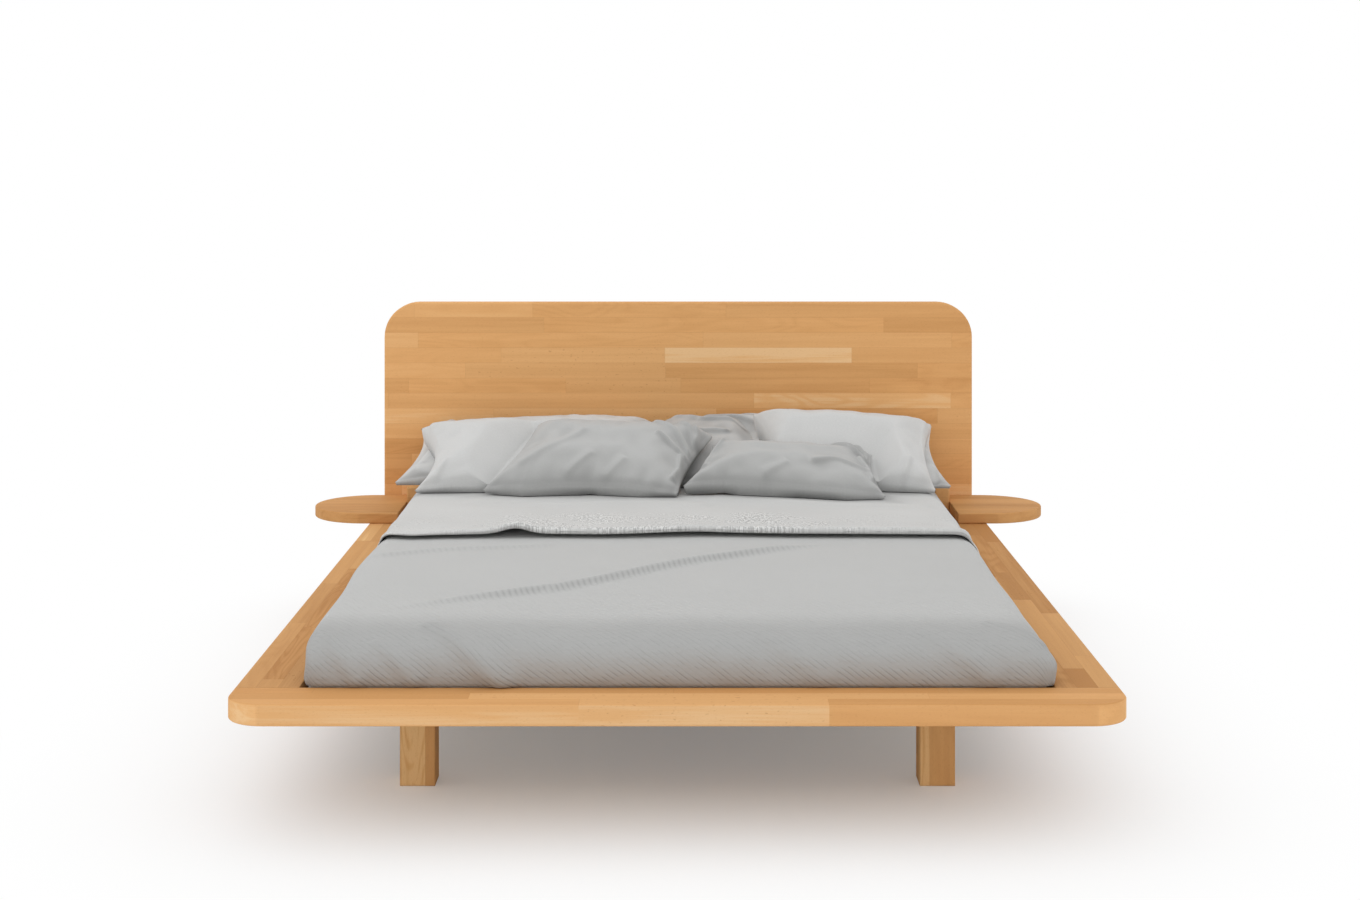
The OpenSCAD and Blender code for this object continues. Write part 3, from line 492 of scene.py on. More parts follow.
wood_screw = dict(Head_Width=0.010, Head_Taper=0.5, Head_Height=0.0025, Shank_Width=0.005, Socket_Width=0.0042)
for seed, kind in enumerate(("slat", "ledger", "apron", "plate", "beam", "shelf")):
    fasten(kind + "_screws", seed, **wood_screw)
fasten("headboard_bolts", 7, Head_Width=0.014, Head_Taper=1.0, Head_Height=0.0035, Shank_Width=0.007,
       Socket_Width=0.0062)
fasten("leg_bolts", 8, Head_Width=0.014, Head_Taper=1.4286, Head_Height=0.004, Shank_Width=0.008, Socket_Width=0.0075,
       Nut_Width=0.0152, Nut_Place=0.074, Nut_Height=0.0064)

# %% [markdown]
# ## Weave
# Two groups describe the fabrics. The first is a plain weave with slubs, which are the thick
# places in a thread that make linen look lively. Both groups read the piece's own UV map,
# which holds metres of flat cloth.

# %% Shader group: weave
weave, i, out = new_group("plain weave", dict(Vector="Vector", Thread=0.0012, Slub=0.5), Tone="Float", Height="Float")
x, y, _ = parts(i["Vector"])
warp, weft = ((way / i["Thread"] * math.pi).maths("SINE") for way in (x, y))
slubs = noise(i["Vector"], (150.0, 850.0, 1.0)) + noise(i["Vector"], (850.0, 190.0, 1.0))
slub = (slubs - 1.0) * i["Slub"]
fill(out, Tone=slub.maths("ADD", 0.5, clamp=True), Height=abs(warp * weft) * 0.4 + slub)

# %% [markdown]
# ## Ribs
# The second group is the slanting rib that is quilted into the duvet: rounded ridges with
# narrow grooves, which bend outwards where they run down to the hem. The ribs are weaker far
# from the foot and in patches. The grooves and the part that hangs down get painted shade.

# %% Shader group: slanting ribs
ribs, i, out = new_group("slanting ribs", dict(Vector="Vector", Pitch=0.0150, Lean=0.35, Fan=0.198),
                         Height="Float", Groove="Float", Wave="Float")
x, y, _ = parts(i["Vector"])
position = y * i["Lean"] + x - (y * -5.56).maths("EXPONENT") * i["Fan"]
position = noise(i["Vector"], (7.0, 7.0, 1.0)) * 0.02 + position
wave = abs((position / i["Pitch"] * math.pi).maths("SINE"))
near_foot = band(y, 0.62, 0.24, 0.30, 1.0)
strength = near_foot * band(noise(i["Vector"], (26.0, 60.0, 1.0)), 0.40, 0.60, 0.2, 1.0)
# Painted shade: the part that hangs down at the foot, and the grooves near it, are darkened.
hanging_shade = band(y, 0.29, 0.13) * 0.34 + band(y, 0.07, 0.0, 0.0, 0.10)
groove_shade = band(wave, 0.55, 0.0, 0.0, 1.0) * (strength * near_foot) * band(y, 0.07, 0.0, 0.10, 0.42)
fill(out, Height=wave.maths("POWER", 0.6) * strength, Wave=wave, Groove=groove_shade.maths("ADD", hanging_shade, clamp=True))

# %% [markdown]
# ## Cloth materials
# The duvet is mid grey cotton, its turned-back side and the sleeping pillows are a paler
# linen, and the two cushions are a darker cotton. Cloth scatters light at its edges, which
# the sheen of the shader imitates. The slubs come and go over the cloth, as in real yarn.
# Shade in folds, grooves and gaps is painted into the colour from a value that each piece carries.

# %% Cloth
def cloth(name, colour, slub, rib=0.0, bump=0.25, lively=0.0):
    material, tree, shader = new_material(name)
    metres = flow(tree, "ShaderNodeUVMap", uv_map="cloth")
    threads = place_group(tree, weave, Vector=metres, Slub=slub)
    tone = (noise(metres, (4.0, 5.0, 1.0), 3.0) - 0.5) * 0.25 + threads["Tone"]
    height, grooves = threads["Height"], 0.0
    if lively:
        x, y, _ = parts(metres)
        patches = band(noise(metres, (7.0, 13.0, 1.0)), 0.40, 0.60, 0.1, 1.0) * band(abs(x), 0.50, 0.30, 0.15, 1.0)
        coarse = noise(metres, (125.0, 150.0, 1.0), 1.0) + noise(metres, (380.0, 85.0, 1.0), 1.0) - 1.0
        coarse = coarse * (patches * band(y, 0.32, 0.18, 0.0, 1.0) * lively)
        tone, height = tone + coarse, height + coarse
    # Painted shade: each piece carries a shade value per point, which darkens the colour towards grey.
    painted_shade = flow(tree, "ShaderNodeAttribute", result="Fac", attribute_name="painted_shade")
    if rib:
        slanting = place_group(tree, ribs, Vector=metres)
        height, grooves = slanting["Height"] * rib + height, slanting["Groove"]
        painted_shade = painted_shade * (slanting["Wave"] * -1.1 + 1.75)
    low, high = (0.76, 1.26) if lively else (0.87, 1.10)
    darker, lighter = ((*(c * share for c in colour), 1) for share in (low, high))
    colour = blend_colour("MIX", tone, darker, lighter)
    colour = blend_colour("MULTIPLY", painted_shade.maths("ADD", grooves, clamp=True), colour, (0.42, 0.42, 0.42, 1))
    dent = fill(add(tree, "ShaderNodeBump"), Strength=bump, Distance=0.001, Height=height)[0]
    fill(shader, Base_Color=colour, Roughness=threads["Tone"] * -0.12 + 0.92, Specular_IOR_Level=0.2,
         Sheen_Weight=0.12, Sheen_Roughness=0.5, Normal=dent)
    return material


duvet_cloth = cloth("duvet_cotton", (0.565, 0.568, 0.560), 0.35, rib=1.3, bump=0.7)
linen_cloth = cloth("pale_linen", (0.598, 0.600, 0.591), 0.5, bump=0.3, lively=5.6)
pillow_cloth = cloth("pillow_linen", (0.645, 0.648, 0.641), 0.6, bump=0.3)
cushion_cloth = cloth("cushion_cotton", (0.500, 0.503, 0.496), 0.5)
ticking_cloth = cloth("mattress_ticking", (0.80, 0.79, 0.75), 0.3)
print("cloth materials:", [m.name for m in (duvet_cloth, linen_cloth, pillow_cloth, cushion_cloth, ticking_cloth)])

# %% [markdown]
# ## Meshes from grids of points
# Bedding is easiest to think of as a grid of points over the bed. Two grids that share a
# rim close into a solid, and the flat position of each point becomes its UV.

# %% Grid helpers
def rise(x, start, width):
    """Eases from 0 at start to 1 a width further on. A negative width counts backwards."""
    x = np.clip((x - start) / width, 0, 1)
    return x * x * (3 - 2 * x)


def bump_at(x, width):
    return np.exp(-(x / width) ** 2)


def axes(points):
    """Views of the x, y and z of a grid of points: what is added to one changes the grid."""
    return points[..., 0], points[..., 1], points[..., 2]


def normals_of(points):
    """Unit normals of a grid of points, rows along the bed and columns across it."""
    n = np.cross(np.gradient(points, axis=1), np.gradient(points, axis=0))
    return n / np.maximum(np.linalg.norm(n, axis=2, keepdims=True), 1e-9)


def quads(ids):
    """The faces between a grid of numbered points."""
    return [tuple(q) for q in np.stack([ids[:-1, :-1], ids[:-1, 1:], ids[1:, 1:], ids[1:, :-1]], 2).reshape(-1, 4)]


def closed_sheet(name, upper, lower, uv, material, painted_shade=0.0, under=0.0):
    """A closed mesh between two grids of points, with painted shade per point: the first amount on both sides, the
    second added on the lower side.
    """
    count = upper[..., 0].size
    ids = np.arange(count).reshape(upper.shape[:2])
    rim = np.concatenate([ids[0, :], ids[1:, -1], ids[-1, -2::-1], ids[-2:0:-1, 0]])
    faces = quads(ids) + [tuple(k + count for k in q[::-1]) for q in quads(ids)]
    faces += [(b, a, a + count, b + count) for a, b in zip(rim, np.roll(rim, -1))]
    mesh = bpy.data.meshes.new(name)
    mesh.from_pydata(np.concatenate([upper.reshape(-1, 3), lower.reshape(-1, 3)]).tolist(), [], faces)
    layer = mesh.uv_layers.new(name="cloth")
    both = np.concatenate([uv.reshape(-1, 2), uv.reshape(-1, 2)])
    corners = np.empty(len(mesh.loops), int)
    mesh.loops.foreach_get("vertex_index", corners)
    layer.data.foreach_set("uv", both[corners].ravel())
    shades = [np.broadcast_to(painted_shade + extra, ids.shape).ravel() for extra in (0.0, under)]
    mesh.attributes.new("painted_shade", "FLOAT", "POINT").data.foreach_set("value", np.clip(np.concatenate(shades), 0, 1))
    mesh.materials.append(material)
    mesh.polygons.foreach_set("use_smooth", [True] * len(mesh.polygons))
    mesh.update()
    return placed(name, mesh)


def ripples(x, y, seed, size, count=14):
    """Soft random undulation between about -1 and 1, the same on every run."""
    rng = np.random.default_rng(seed)
    total = np.zeros_like(x)
    for _ in range(count):
        angle, phase, scale = rng.uniform(0, math.tau), rng.uniform(0, math.tau), rng.uniform(0.6, 1.7)
        total += np.sin((x * math.cos(angle) + y * math.sin(angle)) * math.tau * scale / size + phase)
    return total / math.sqrt(count)


def fold_shade(relief, cell, strength):
    """Shade of the sides of folds that face the foot or the right, away from the light."""
    down, right = np.gradient(relief, axis=0) / cell, -np.gradient(relief, axis=1) / cell
    return np.clip(strength * np.clip(down + 0.7 * right, 0, 1), 0, 1)


def crease(x, y, points, width, height, lean=0.35):
    """Height of a soft fold that runs along a line and is steeper on its right-hand side."""
    total = np.zeros_like(x)
    for (x0, y0), (x1, y1) in zip(points, points[1:]):
        dx, dy = x1 - x0, y1 - y0
        size = math.hypot(dx, dy)
        t = ((x - x0) * dx + (y - y0) * dy) / size ** 2
        side = ((x - x0) * dy - (y - y0) * dx) / size / width
        fade = rise(t, -0.2, 0.2) * rise(t, 1.2, -0.2)
        total = np.maximum(total, fade * np.exp(-side ** 2 * np.where(side > 0, 1 + 3 * lean, 1)))
    return total * height


print("helpers ready")

# %% [markdown]
# ## Covers over a block
# The mattress, the duvet and the turned-back part all have the same kind of form: a flat
# top that rolls over a rounded shoulder down to a hem. The roll is a quarter of a
# superellipse. Its length along the cloth is measured first, so that the grid's points are
# evenly spaced on the cloth, and the flat position of a point is known. The shoulders may
# be of different widths, because filling settles: wide and sloping at the foot, narrow
# where the cloth is pushed against the side.

# %% Rounded covers
def roll(width, drop, blunt, steps=120):
    """Inset and height along a rounded shoulder, and the length of cloth up to each point."""
    a = np.linspace(0, math.pi / 2, steps)
    inset, height = width * (1 - np.cos(a) ** (2 / blunt)), drop * np.sin(a) ** (2 / blunt)
    length = np.concatenate([[0], np.cumsum(np.hypot(np.diff(inset), np.diff(height)))])
    return inset, height, length


class Cover:
    """A layer over the bed: its size, the widths of its shoulders, and the cloth that it takes."""

    def __init__(self, half, foot, head, hem, top, left, right, end, blunt, corner, head_end=False):
        self.half, self.foot, self.head, self.hem, self.top = half, foot, head, hem, top
        self.left, self.right, self.end, self.corner, self.head_end = left, right, end, corner, head_end
        self.sides = [roll(width, top - hem, blunt) for width in (left, right)]
        self.foot_roll = roll(end, top - hem, blunt)
        self.reach = [side[2][-1] + half - width for side, width in zip(self.sides, (left, right))]
        ends = 2 if head_end else 1
        self.long = ends * self.foot_roll[2][-1] + head - foot - ends * end

    def spread(self, columns, rows):
        """Evenly spaced places across the cloth, and along it from the foot hem."""
        return np.linspace(-self.reach[0], self.reach[1], columns), np.linspace(0, self.long, rows)

    def rolled(self, profile, width, distance):
        """Inset and share of the height at a distance along the cloth from the hem."""
        inset, height, length = profile
        past = distance - length[-1]
        return (np.where(past < 0, np.interp(distance, length, inset), width + past),
                np.interp(distance, length, height) / (self.top - self.hem))

    def points(self, across, along):
        """across runs from -reach[0] to reach[1], and along from 0 at the foot hem."""
        left = self.rolled(self.sides[0], self.left, self.reach[0] + across)
        right = self.rolled(self.sides[1], self.right, self.reach[1] - across)
        x = np.where(across < 0, left[0] - self.half, self.half - right[0])
        side_up = np.where(across < 0, left[1], right[1])
        inset, up = self.rolled(self.foot_roll, self.end, along)
        y = self.foot + inset
        if self.head_end:
            inset, head_up = self.rolled(self.foot_roll, self.end, self.long - along)
            y, up = np.where(along > self.long / 2, self.head - inset, y), up * head_up
        up = side_up[None, :] * up[:, None]
        x, y = (grid.copy() for grid in np.broadcast_arrays(x[None, :], y[:, None]))
        half, corner = self.half, self.corner
        dx = np.clip((np.abs(x) - (half - corner)) / corner, 0, 1)
        for middle, way in ((self.foot + corner, -1), (self.head - corner, 1))[:1 + self.head_end]:
            dy = np.clip((y - middle) * way / corner, 0, 1)
            both = (dx > 0) & (dy > 0)
            x, y = (np.where(both, np.sign(x) * (half - corner + corner * dx * np.sqrt(1 - dy ** 2 / 2)), x),
                    np.where(both, middle + way * corner * dy * np.sqrt(1 - dx ** 2 / 2), y))
        return np.stack([x, y, self.hem + (self.top - self.hem) * up], axis=2)


print("helpers ready")

# %% [markdown]
# ## The mattress
# Only its edges can ever be seen, between the slats and behind the pillows. It is one block
# of foam in a ticking cover, with a gently dimpled top.

# %% Mattress
MATTRESS = dict(hem=0.2065, left=0.070, right=0.070, end=0.070, blunt=2.2)
shape = Cover(half=0.6994, foot=-0.9589, head=1.0399, top=0.3344, corner=0.045, head_end=True, **MATTRESS)
across, along = shape.spread(90, 130)
upper = shape.points(across, along)
z = axes(upper)[2]
a, b = np.meshgrid(across, along)
z -= 0.0012 * rise(z, 0.30, 0.03) * (np.sin(a * 42) ** 2 * np.sin(b * 42) ** 2)
lower = upper.copy()
lower[..., 2] = 0.2055
mattress = closed_sheet("mattress_block", upper, lower, np.stack([a, b], 2), ticking_cloth)
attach(mattress, "root")
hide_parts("mattress")
print("mattress", len(mattress.data.polygons), "faces")

# %% [markdown]
# ## The mattress's piping
# A piping is sewn round the lower edge: a thin cord in a strip of the cover. It follows a
# path, so a small Geometry Nodes tree sweeps a circle along it.

# %% Geometry tree: piping
piping, i, out = geometry_tree("piping", Cord_Radius=0.002, Cloth="Material")
path = flow(piping, "GeometryNodeMeshToCurve", i["Geometry"])
ring = fill(add(piping, "GeometryNodeCurvePrimitiveCircle"), Resolution=8, Radius=i["Cord Radius"])[0]
painted(flow(piping, "GeometryNodeCurveToMesh", path, ring), i["Cloth"], out)

half, head, foot, radius, seam_z = 0.6545, 0.9949, -0.9139, 0.047, 0.2135
corners = enumerate(((half, head), (-half, head), (-half, foot), (half, foot)))
outline = [(x + radius * math.cos(t), y + radius * math.sin(t), seam_z) for k, (x, y) in corners
           for t in (np.linspace(0, 1, 7) + k) * math.pi / 2]
mesh = bpy.data.meshes.new("piping")
mesh.from_pydata(outline, [(k, (k + 1) % len(outline)) for k in range(len(outline))], [])
cord = baked("mattress_piping", mesh, piping, Cord_Radius=0.0018, Cloth=ticking_cloth)
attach(cord, "root")
print("piping", len(cord.data.polygons), "faces")

# %% [markdown]
# ## The duvet
# It lies over the mattress and is pushed in against the surround. Its top is nearly flat,
# with one long crease that runs up towards the right and a weaker one near the turned-back
# part. At the foot the filling slopes off and the cover hangs in slanting puckers. Its
# under side follows the mattress, so that the whole space between them is filled.

# %% Duvet
HEM_Y, HEAD_Y = 0.046, 0.890
DUVET = dict(foot=-0.9685, hem=0.2615, left=0.048, right=0.070, end=0.150, blunt=3.0)
shape = Cover(half=0.7065, head=HEAD_Y, top=0.3512, corner=0.030, **DUVET)
across, along = shape.spread(240, 280)
upper = shape.points(across, along)
under = Cover(half=0.7004, foot=-0.9599, head=HEAD_Y, top=0.3359, corner=0.045, **{**MATTRESS, "hem": DUVET["hem"]})
lower = under.points(*under.spread(240, 280))
a, b = np.meshgrid(across, along)
facing = normals_of(upper)
x, y, z = axes(upper)
from_side = np.minimum(shape.reach[0] + a, shape.reach[1] - a)
open_part = rise(y, HEM_Y - 0.02, -0.12)
under_fold_z = 0.3519

long_crease = [(-0.56, -0.702), (-0.44, -0.631), (-0.244, -0.517), (0.046, -0.2345), (0.228, -0.094), (0.34, -0.042)]
folds = crease(x, y, long_crease, 0.022, 0.0130) * rise(x, -0.62, 0.34) * rise(x, 0.42, -0.30)
folds += crease(x, y, [(-0.653, -0.153), (-0.48, -0.085), (-0.31, -0.045)], 0.024, 0.0060)
for width, height, *line in (
    (0.026, 0.012, (-0.47, 0.150), (-0.33, 0.005)), (0.018, 0.007, (-0.66, 0.110), (-0.60, 0.010)),
    (0.020, 0.006, (-0.56, 0.090), (-0.49, 0.010)), (0.026, 0.004, (0.16, 0.120), (0.27, 0.010)),
    (0.026, 0.0045, (0.46, 0.130), (0.58, 0.015)), (0.022, 0.005, (0.60, 0.190), (0.69, 0.110)),
):
    folds += crease(a, b, line, width, height)
puckers = ripples(a * 1.5 + b * 0.8, b * 0.5, 5, 0.13) * 0.0016 * bump_at(b, 0.18) * rise(b, 0, 0.03)
puckers += ripples(a, b, 8, 0.50) * 0.0015 * rise(b, 0, 0.1) * (0.2 + 0.8 * open_part)
puckers += 0.005 * bump_at(shape.reach[1] - a - 0.055, 0.03) * bump_at(b - 0.075, 0.04)
puckers *= rise(from_side, 0, 0.03)
x -= 0.004 * rise(z, 0.29, 0.04) * rise(y, 0.0, -0.3)
right_side = rise(x, 0.60, 0.06)
x += 0.004 * right_side * bump_at(y + 0.80, 0.08) * rise(z, 0.27, 0.03)
x += right_side * (0.003 * bump_at(y + 0.93, 0.03) * rise(z, 0.28, 0.02) + 0.004 * rise(z, 0.28, -0.02))
x += 0.006 * rise(x, -0.64, -0.05) * bump_at(y + 0.945, 0.05)
x -= 0.012 * rise(x, -0.64, -0.05) * bump_at(y + 0.20, 0.20)
upper += facing * (folds * (0.15 + 0.85 * open_part) + puckers)[..., None]
upper -= facing * (0.004 * bump_at(np.minimum(b, from_side), 0.009))[..., None]
z[:] = np.where(y > HEM_Y - 0.03, np.minimum(z, under_fold_z), z)
# Painted shade: the sides of the crease lines that face the foot or the right are darkened.
crease_shade = fold_shade(folds * open_part, along[1] - along[0], 0.36)
duvet = closed_sheet("duvet_cover", upper, lower, np.stack([a, b], 2), duvet_cloth, crease_shade)
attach(duvet, "root")
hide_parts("duvet")

# %% [markdown]
# ## Where the pillows lie
# Each pillow has four corners: how far across the bed, how far from the headboard and how
# high above the bedding. They are needed here already, because a painted shadow darkens the
# bedding in the narrow gap where a pillow touches it.

# %% Places of the pillows
BED_Z, FACE_Y = 0.3616, 1.0465
BACK_LEAN, FRONT_LEAN = (0.375, 0.5), (0.455, 0.6)
FLAT, OPEN_AIR = (0.0, 0.0), (2.1, 10.0)
DRAW_IN = 0.07
PLACES = {
    "pillow_back_left":
        [(-0.756, 0.300, 0.0086), (-0.074, 0.320, 0.012), (-0.067, 0.030, 0.126), (-0.711, 0.034, 0.098)],
    "pillow_back_right":
        [(-0.060, 0.340, 0.012), (0.722, 0.355, 0.007), (0.707, 0.034, 0.123), (-0.057, 0.030, 0.133)],
    "pillow_front_left":
        [(-0.686, 0.430, 0.0082), (-0.130, 0.410, 0.012), (-0.120, 0.160, 0.130), (-0.700, 0.178, 0.1335)],
    "pillow_front_right":
        [(0.260, 0.380, 0.030), (0.672, 0.430, 0.008), (0.693, 0.140, 0.1407), (0.204, 0.140, 0.168)],
    "cushion_left":
        [(-0.507, 0.450, 0.0127), (-0.0014, 0.490, 0.0088), (0.0924, 0.260, 0.1216), (-0.385, 0.230, 0.139)],
    "cushion_right":
        [(0.014, 0.455, 0.0252), (0.532, 0.530, 0.0085), (0.514, 0.330, 0.086), (0.0924, 0.290, 0.104)],
}


def outside(places, x, y):
    """How far a point lies outside the outline of a pillow, seen from above."""
    corners = [(px, FACE_Y - d) for px, d, _ in places]
    return np.maximum.reduce([((x - x0) * (y1 - y0) - (y - y0) * (x1 - x0)) / math.hypot(x1 - x0, y1 - y0)
                              for (x0, y0), (x1, y1) in zip(corners, corners[1:] + corners[:1])])


print("places of", len(PLACES), "pillows")

# %% [markdown]
# ## The turned-back part
# The upper end of the bedding is folded back over the duvet and shows its paler side. Its
# hem is a soft roll that hardly touches the duvet, so a dark line runs under it, and at one
# place it lifts into a little arch. The sheet is a middle surface and a thickness: the
# thickness grows towards the hem and closes there in a half circle.

# %% Turned-back part
shape = Cover(half=0.7066, head=0.880, top=0.3527, corner=0.030, **{**DUVET, "hem": 0.2630})
head_y = 0.872
round_end = 0.011
across, _ = shape.spread(260, 2)
along = np.concatenate([round_end * (1 - np.cos(np.linspace(0, math.pi / 2, 9))), np.linspace(0.015, 0.12, 16),
                        np.linspace(0.13, head_y - HEM_Y, 80)])
profile = shape.points(across, np.full(len(along), 1.5))
x, _, z = axes(profile)
a, b = np.meshgrid(across, along)
facing = np.stack([-np.gradient(z, axis=1), x * 0, np.gradient(x, axis=1)], 2)
facing /= np.linalg.norm(facing, axis=2, keepdims=True)

hem_places = [-0.72, -0.62, -0.55, -0.38, -0.18, 0.05, 0.28, 0.52, 0.66, 0.74]
hem_shifts = [0.000, -0.028, -0.016, 0.000, -0.010, 0.012, 0.000, -0.008, -0.012, -0.010]
wander = np.interp(a, hem_places, hem_shifts) * bump_at(b, 0.28)
lift = 0.0065 + 0.0125 * bump_at(x + 0.381, 0.040) + 0.003 * bump_at(x - 0.02, 0.10)
on_top = rise(z, 0.338, 0.014)
gap = 0.0010 + lift * bump_at(b, 0.075) * (0.15 + 0.85 * on_top)
plump = 0.15 + 0.85 * rise(x, -0.66, 0.30)
thick = 0.0044 + 0.0024 * on_top + 0.0095 * on_top * plump * bump_at(b, 0.080)
closing = np.sqrt(np.clip(1 - (1 - np.clip(b / round_end, 0, 1)) ** 2, 0, 1))
soft = ripples(a, b, 21, 0.11) * 0.0009 * bump_at(b - 0.06, 0.10)
soft += ripples(a, b, 25, 0.26) * 0.0022 * bump_at(b - 0.2, 0.2)
soft += crease(a, b, [(0.10, 0.52), (0.24, 0.47), (0.40, 0.40), (0.62, 0.37)], 0.035, 0.006, lean=0)
soft += crease(a, b, [(-0.52, 0.46), (-0.30, 0.40), (-0.10, 0.44), (0.06, 0.40)], 0.035, 0.005, lean=0)
soft *= rise(b, 0.60, -0.2)
narrow = rise(x, 0.60, 0.06) * (0.004 + 0.005 * rise(b, 0.05, 0.2))
base = np.stack([x - narrow, HEM_Y + b + wander, z], 2)
upper = base + facing * (gap + thick / 2 * (1 + closing) + soft)[..., None]
lower = base + facing * (gap + thick / 2 * (1 - closing))[..., None]
x, y, _ = axes(upper)
# Painted shade: the sides of the soft ripples, and a narrow band round each pillow's outline, are darkened.
clear = np.maximum(np.minimum.reduce([outside(places, x, y) for places in PLACES.values()]), 0)
painted_touch_shadow = 0.42 * bump_at(clear, 0.034) * (0.75 + 0.25 * ripples(a, b * 0, 51, 0.16))
turned_back = closed_sheet("turned_back_part", upper, lower, np.stack([a, b], 2), linen_cloth,
                           fold_shade(soft, 0.010, 0.5) + painted_touch_shadow)
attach(turned_back, "root")
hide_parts("turned_back_sheet")

# %% [markdown]
# ## Wrinkles from a simulation
# A pillow is two sheets of cloth sewn together along their rims and filled. Its large form
# is simple: a dome that is thin at the seams, whose sides draw in between the corners. The
# wrinkles that run in from the seams are not simple, and cloth simulation with a little air
# pressure makes them: two flat sheets are blown up, and what is left of the result after
# its smooth form is taken away is the relief of the wrinkles.

# %% Pillow simulation
def averaged(grid, rounds):
    """Smooths a grid of heights but for its rim."""
    calm = grid.copy()
    for _ in range(rounds):
        calm[1:-1, 1:-1] = (calm[:-2, 1:-1] + calm[2:, 1:-1] + calm[1:-1, :-2] + calm[1:-1, 2:]) / 4
    return calm


def dome_of(u, v):
    """Height of a filled pillow as a share, thin at its seams. u and v run from -1 to 1."""
    return ((1 - np.abs(u) ** 2.6) * (1 - np.abs(v) ** 2.6)) ** 0.6


def wrinkles(u, v, width, height, seed, frames=20):
    """Relief of the wrinkles of two sewn and inflated sheets, as a share of their thickness."""
    dome = dome_of(u, v)
    rng = np.random.default_rng(seed)
    z = dome * 0.012 + rng.normal(0, 0.0005, u.shape) * (dome > 0)
    top = np.stack([u * width / 2, v * height / 2, z], 2)
    low = top * (1, 1, -1)
    rows, columns = u.shape
    ids = np.arange(rows * columns).reshape(rows, columns)
    low_ids = ids.copy()
    low_ids[1:-1, 1:-1] = rows * columns + np.arange((rows - 2) * (columns - 2)).reshape(rows - 2, columns - 2)
    mesh = bpy.data.meshes.new("blown")
    mesh.from_pydata(np.concatenate([top.reshape(-1, 3), low[1:-1, 1:-1].reshape(-1, 3)]).tolist(), [],
                     quads(ids) + [q[::-1] for q in quads(low_ids)])
    ghost = placed("blown", mesh)
    sim = ghost.modifiers.new("Cloth", "CLOTH")
    for name, value in dict(quality=5, mass=0.25, tension_stiffness=12, compression_stiffness=12, shear_stiffness=4,
                            bending_stiffness=0.3, use_pressure=True, uniform_pressure_force=4.0).items():
        setattr(sim.settings, name, value)
    sim.settings.effector_weights.gravity = 0
    sim.point_cache.frame_start, sim.point_cache.frame_end = 1, frames
    scene = bpy.context.scene
    for f in range(1, frames + 1):
        scene.frame_set(f)
    shown = ghost.evaluated_get(bpy.context.evaluated_depsgraph_get()).data
    points = np.empty(len(shown.vertices) * 3)
    shown.vertices.foreach_get("co", points)
    bpy.data.objects.remove(ghost)
    bpy.data.meshes.remove(mesh)
    scene.frame_set(1)
    swollen = points.reshape(-1, 3)[ids][:, :, 2]
    relief = averaged(swollen, 1) - averaged(swollen, 40)
    return relief / swollen.max() * rise(np.abs(u), 1, -0.06) * rise(np.abs(v), 1, -0.10)


print("wrinkles are", "simulated")

# %% [markdown]
# ## Laying the pillows
# The dome of a pillow is stretched between its four corners, and its rear edge rises to a
# crest where it leans on something. Its under side sinks onto the bed and onto the row
# behind. A pillow is pressed flat only where the next row lies on it: outside that row's
# outline it may swell freely. Gathers are added where the filling ends before the case
# does. Each is told as its width, its height and the line along which it runs.

# %% Pillow placement
SIM_CELL, CELL = 0.0085, 0.0036
CLEAR, SINK = 0.0005, 0.16


def slope_z(slope, y):
    """Height of the slope on which a row of pillows lies, or that lies on it."""
    return BED_Z + (slope[0] - FACE_Y + y) * slope[1]


def soft_max(a, b, round_over=0.004):
    return 0.5 * (a + b + np.sqrt((a - b) ** 2 + round_over ** 2))


def share_grid(size, cell):
    """Places on a pillow from -1 to 1, in cells of about this size."""
    return np.meshgrid(*(np.linspace(-1, 1, round(side / cell) + 1) for side in size))


def finer(grid, rows, columns):
    """The same grid of values with more points, for detail smaller than the simulated cells."""
    old_v, old_u = (np.linspace(0, 1, count) for count in grid.shape)
    wide = np.array([np.interp(np.linspace(0, 1, columns), old_u, line) for line in grid])
    return np.array([np.interp(np.linspace(0, 1, rows), old_v, line) for line in wide.T]).T


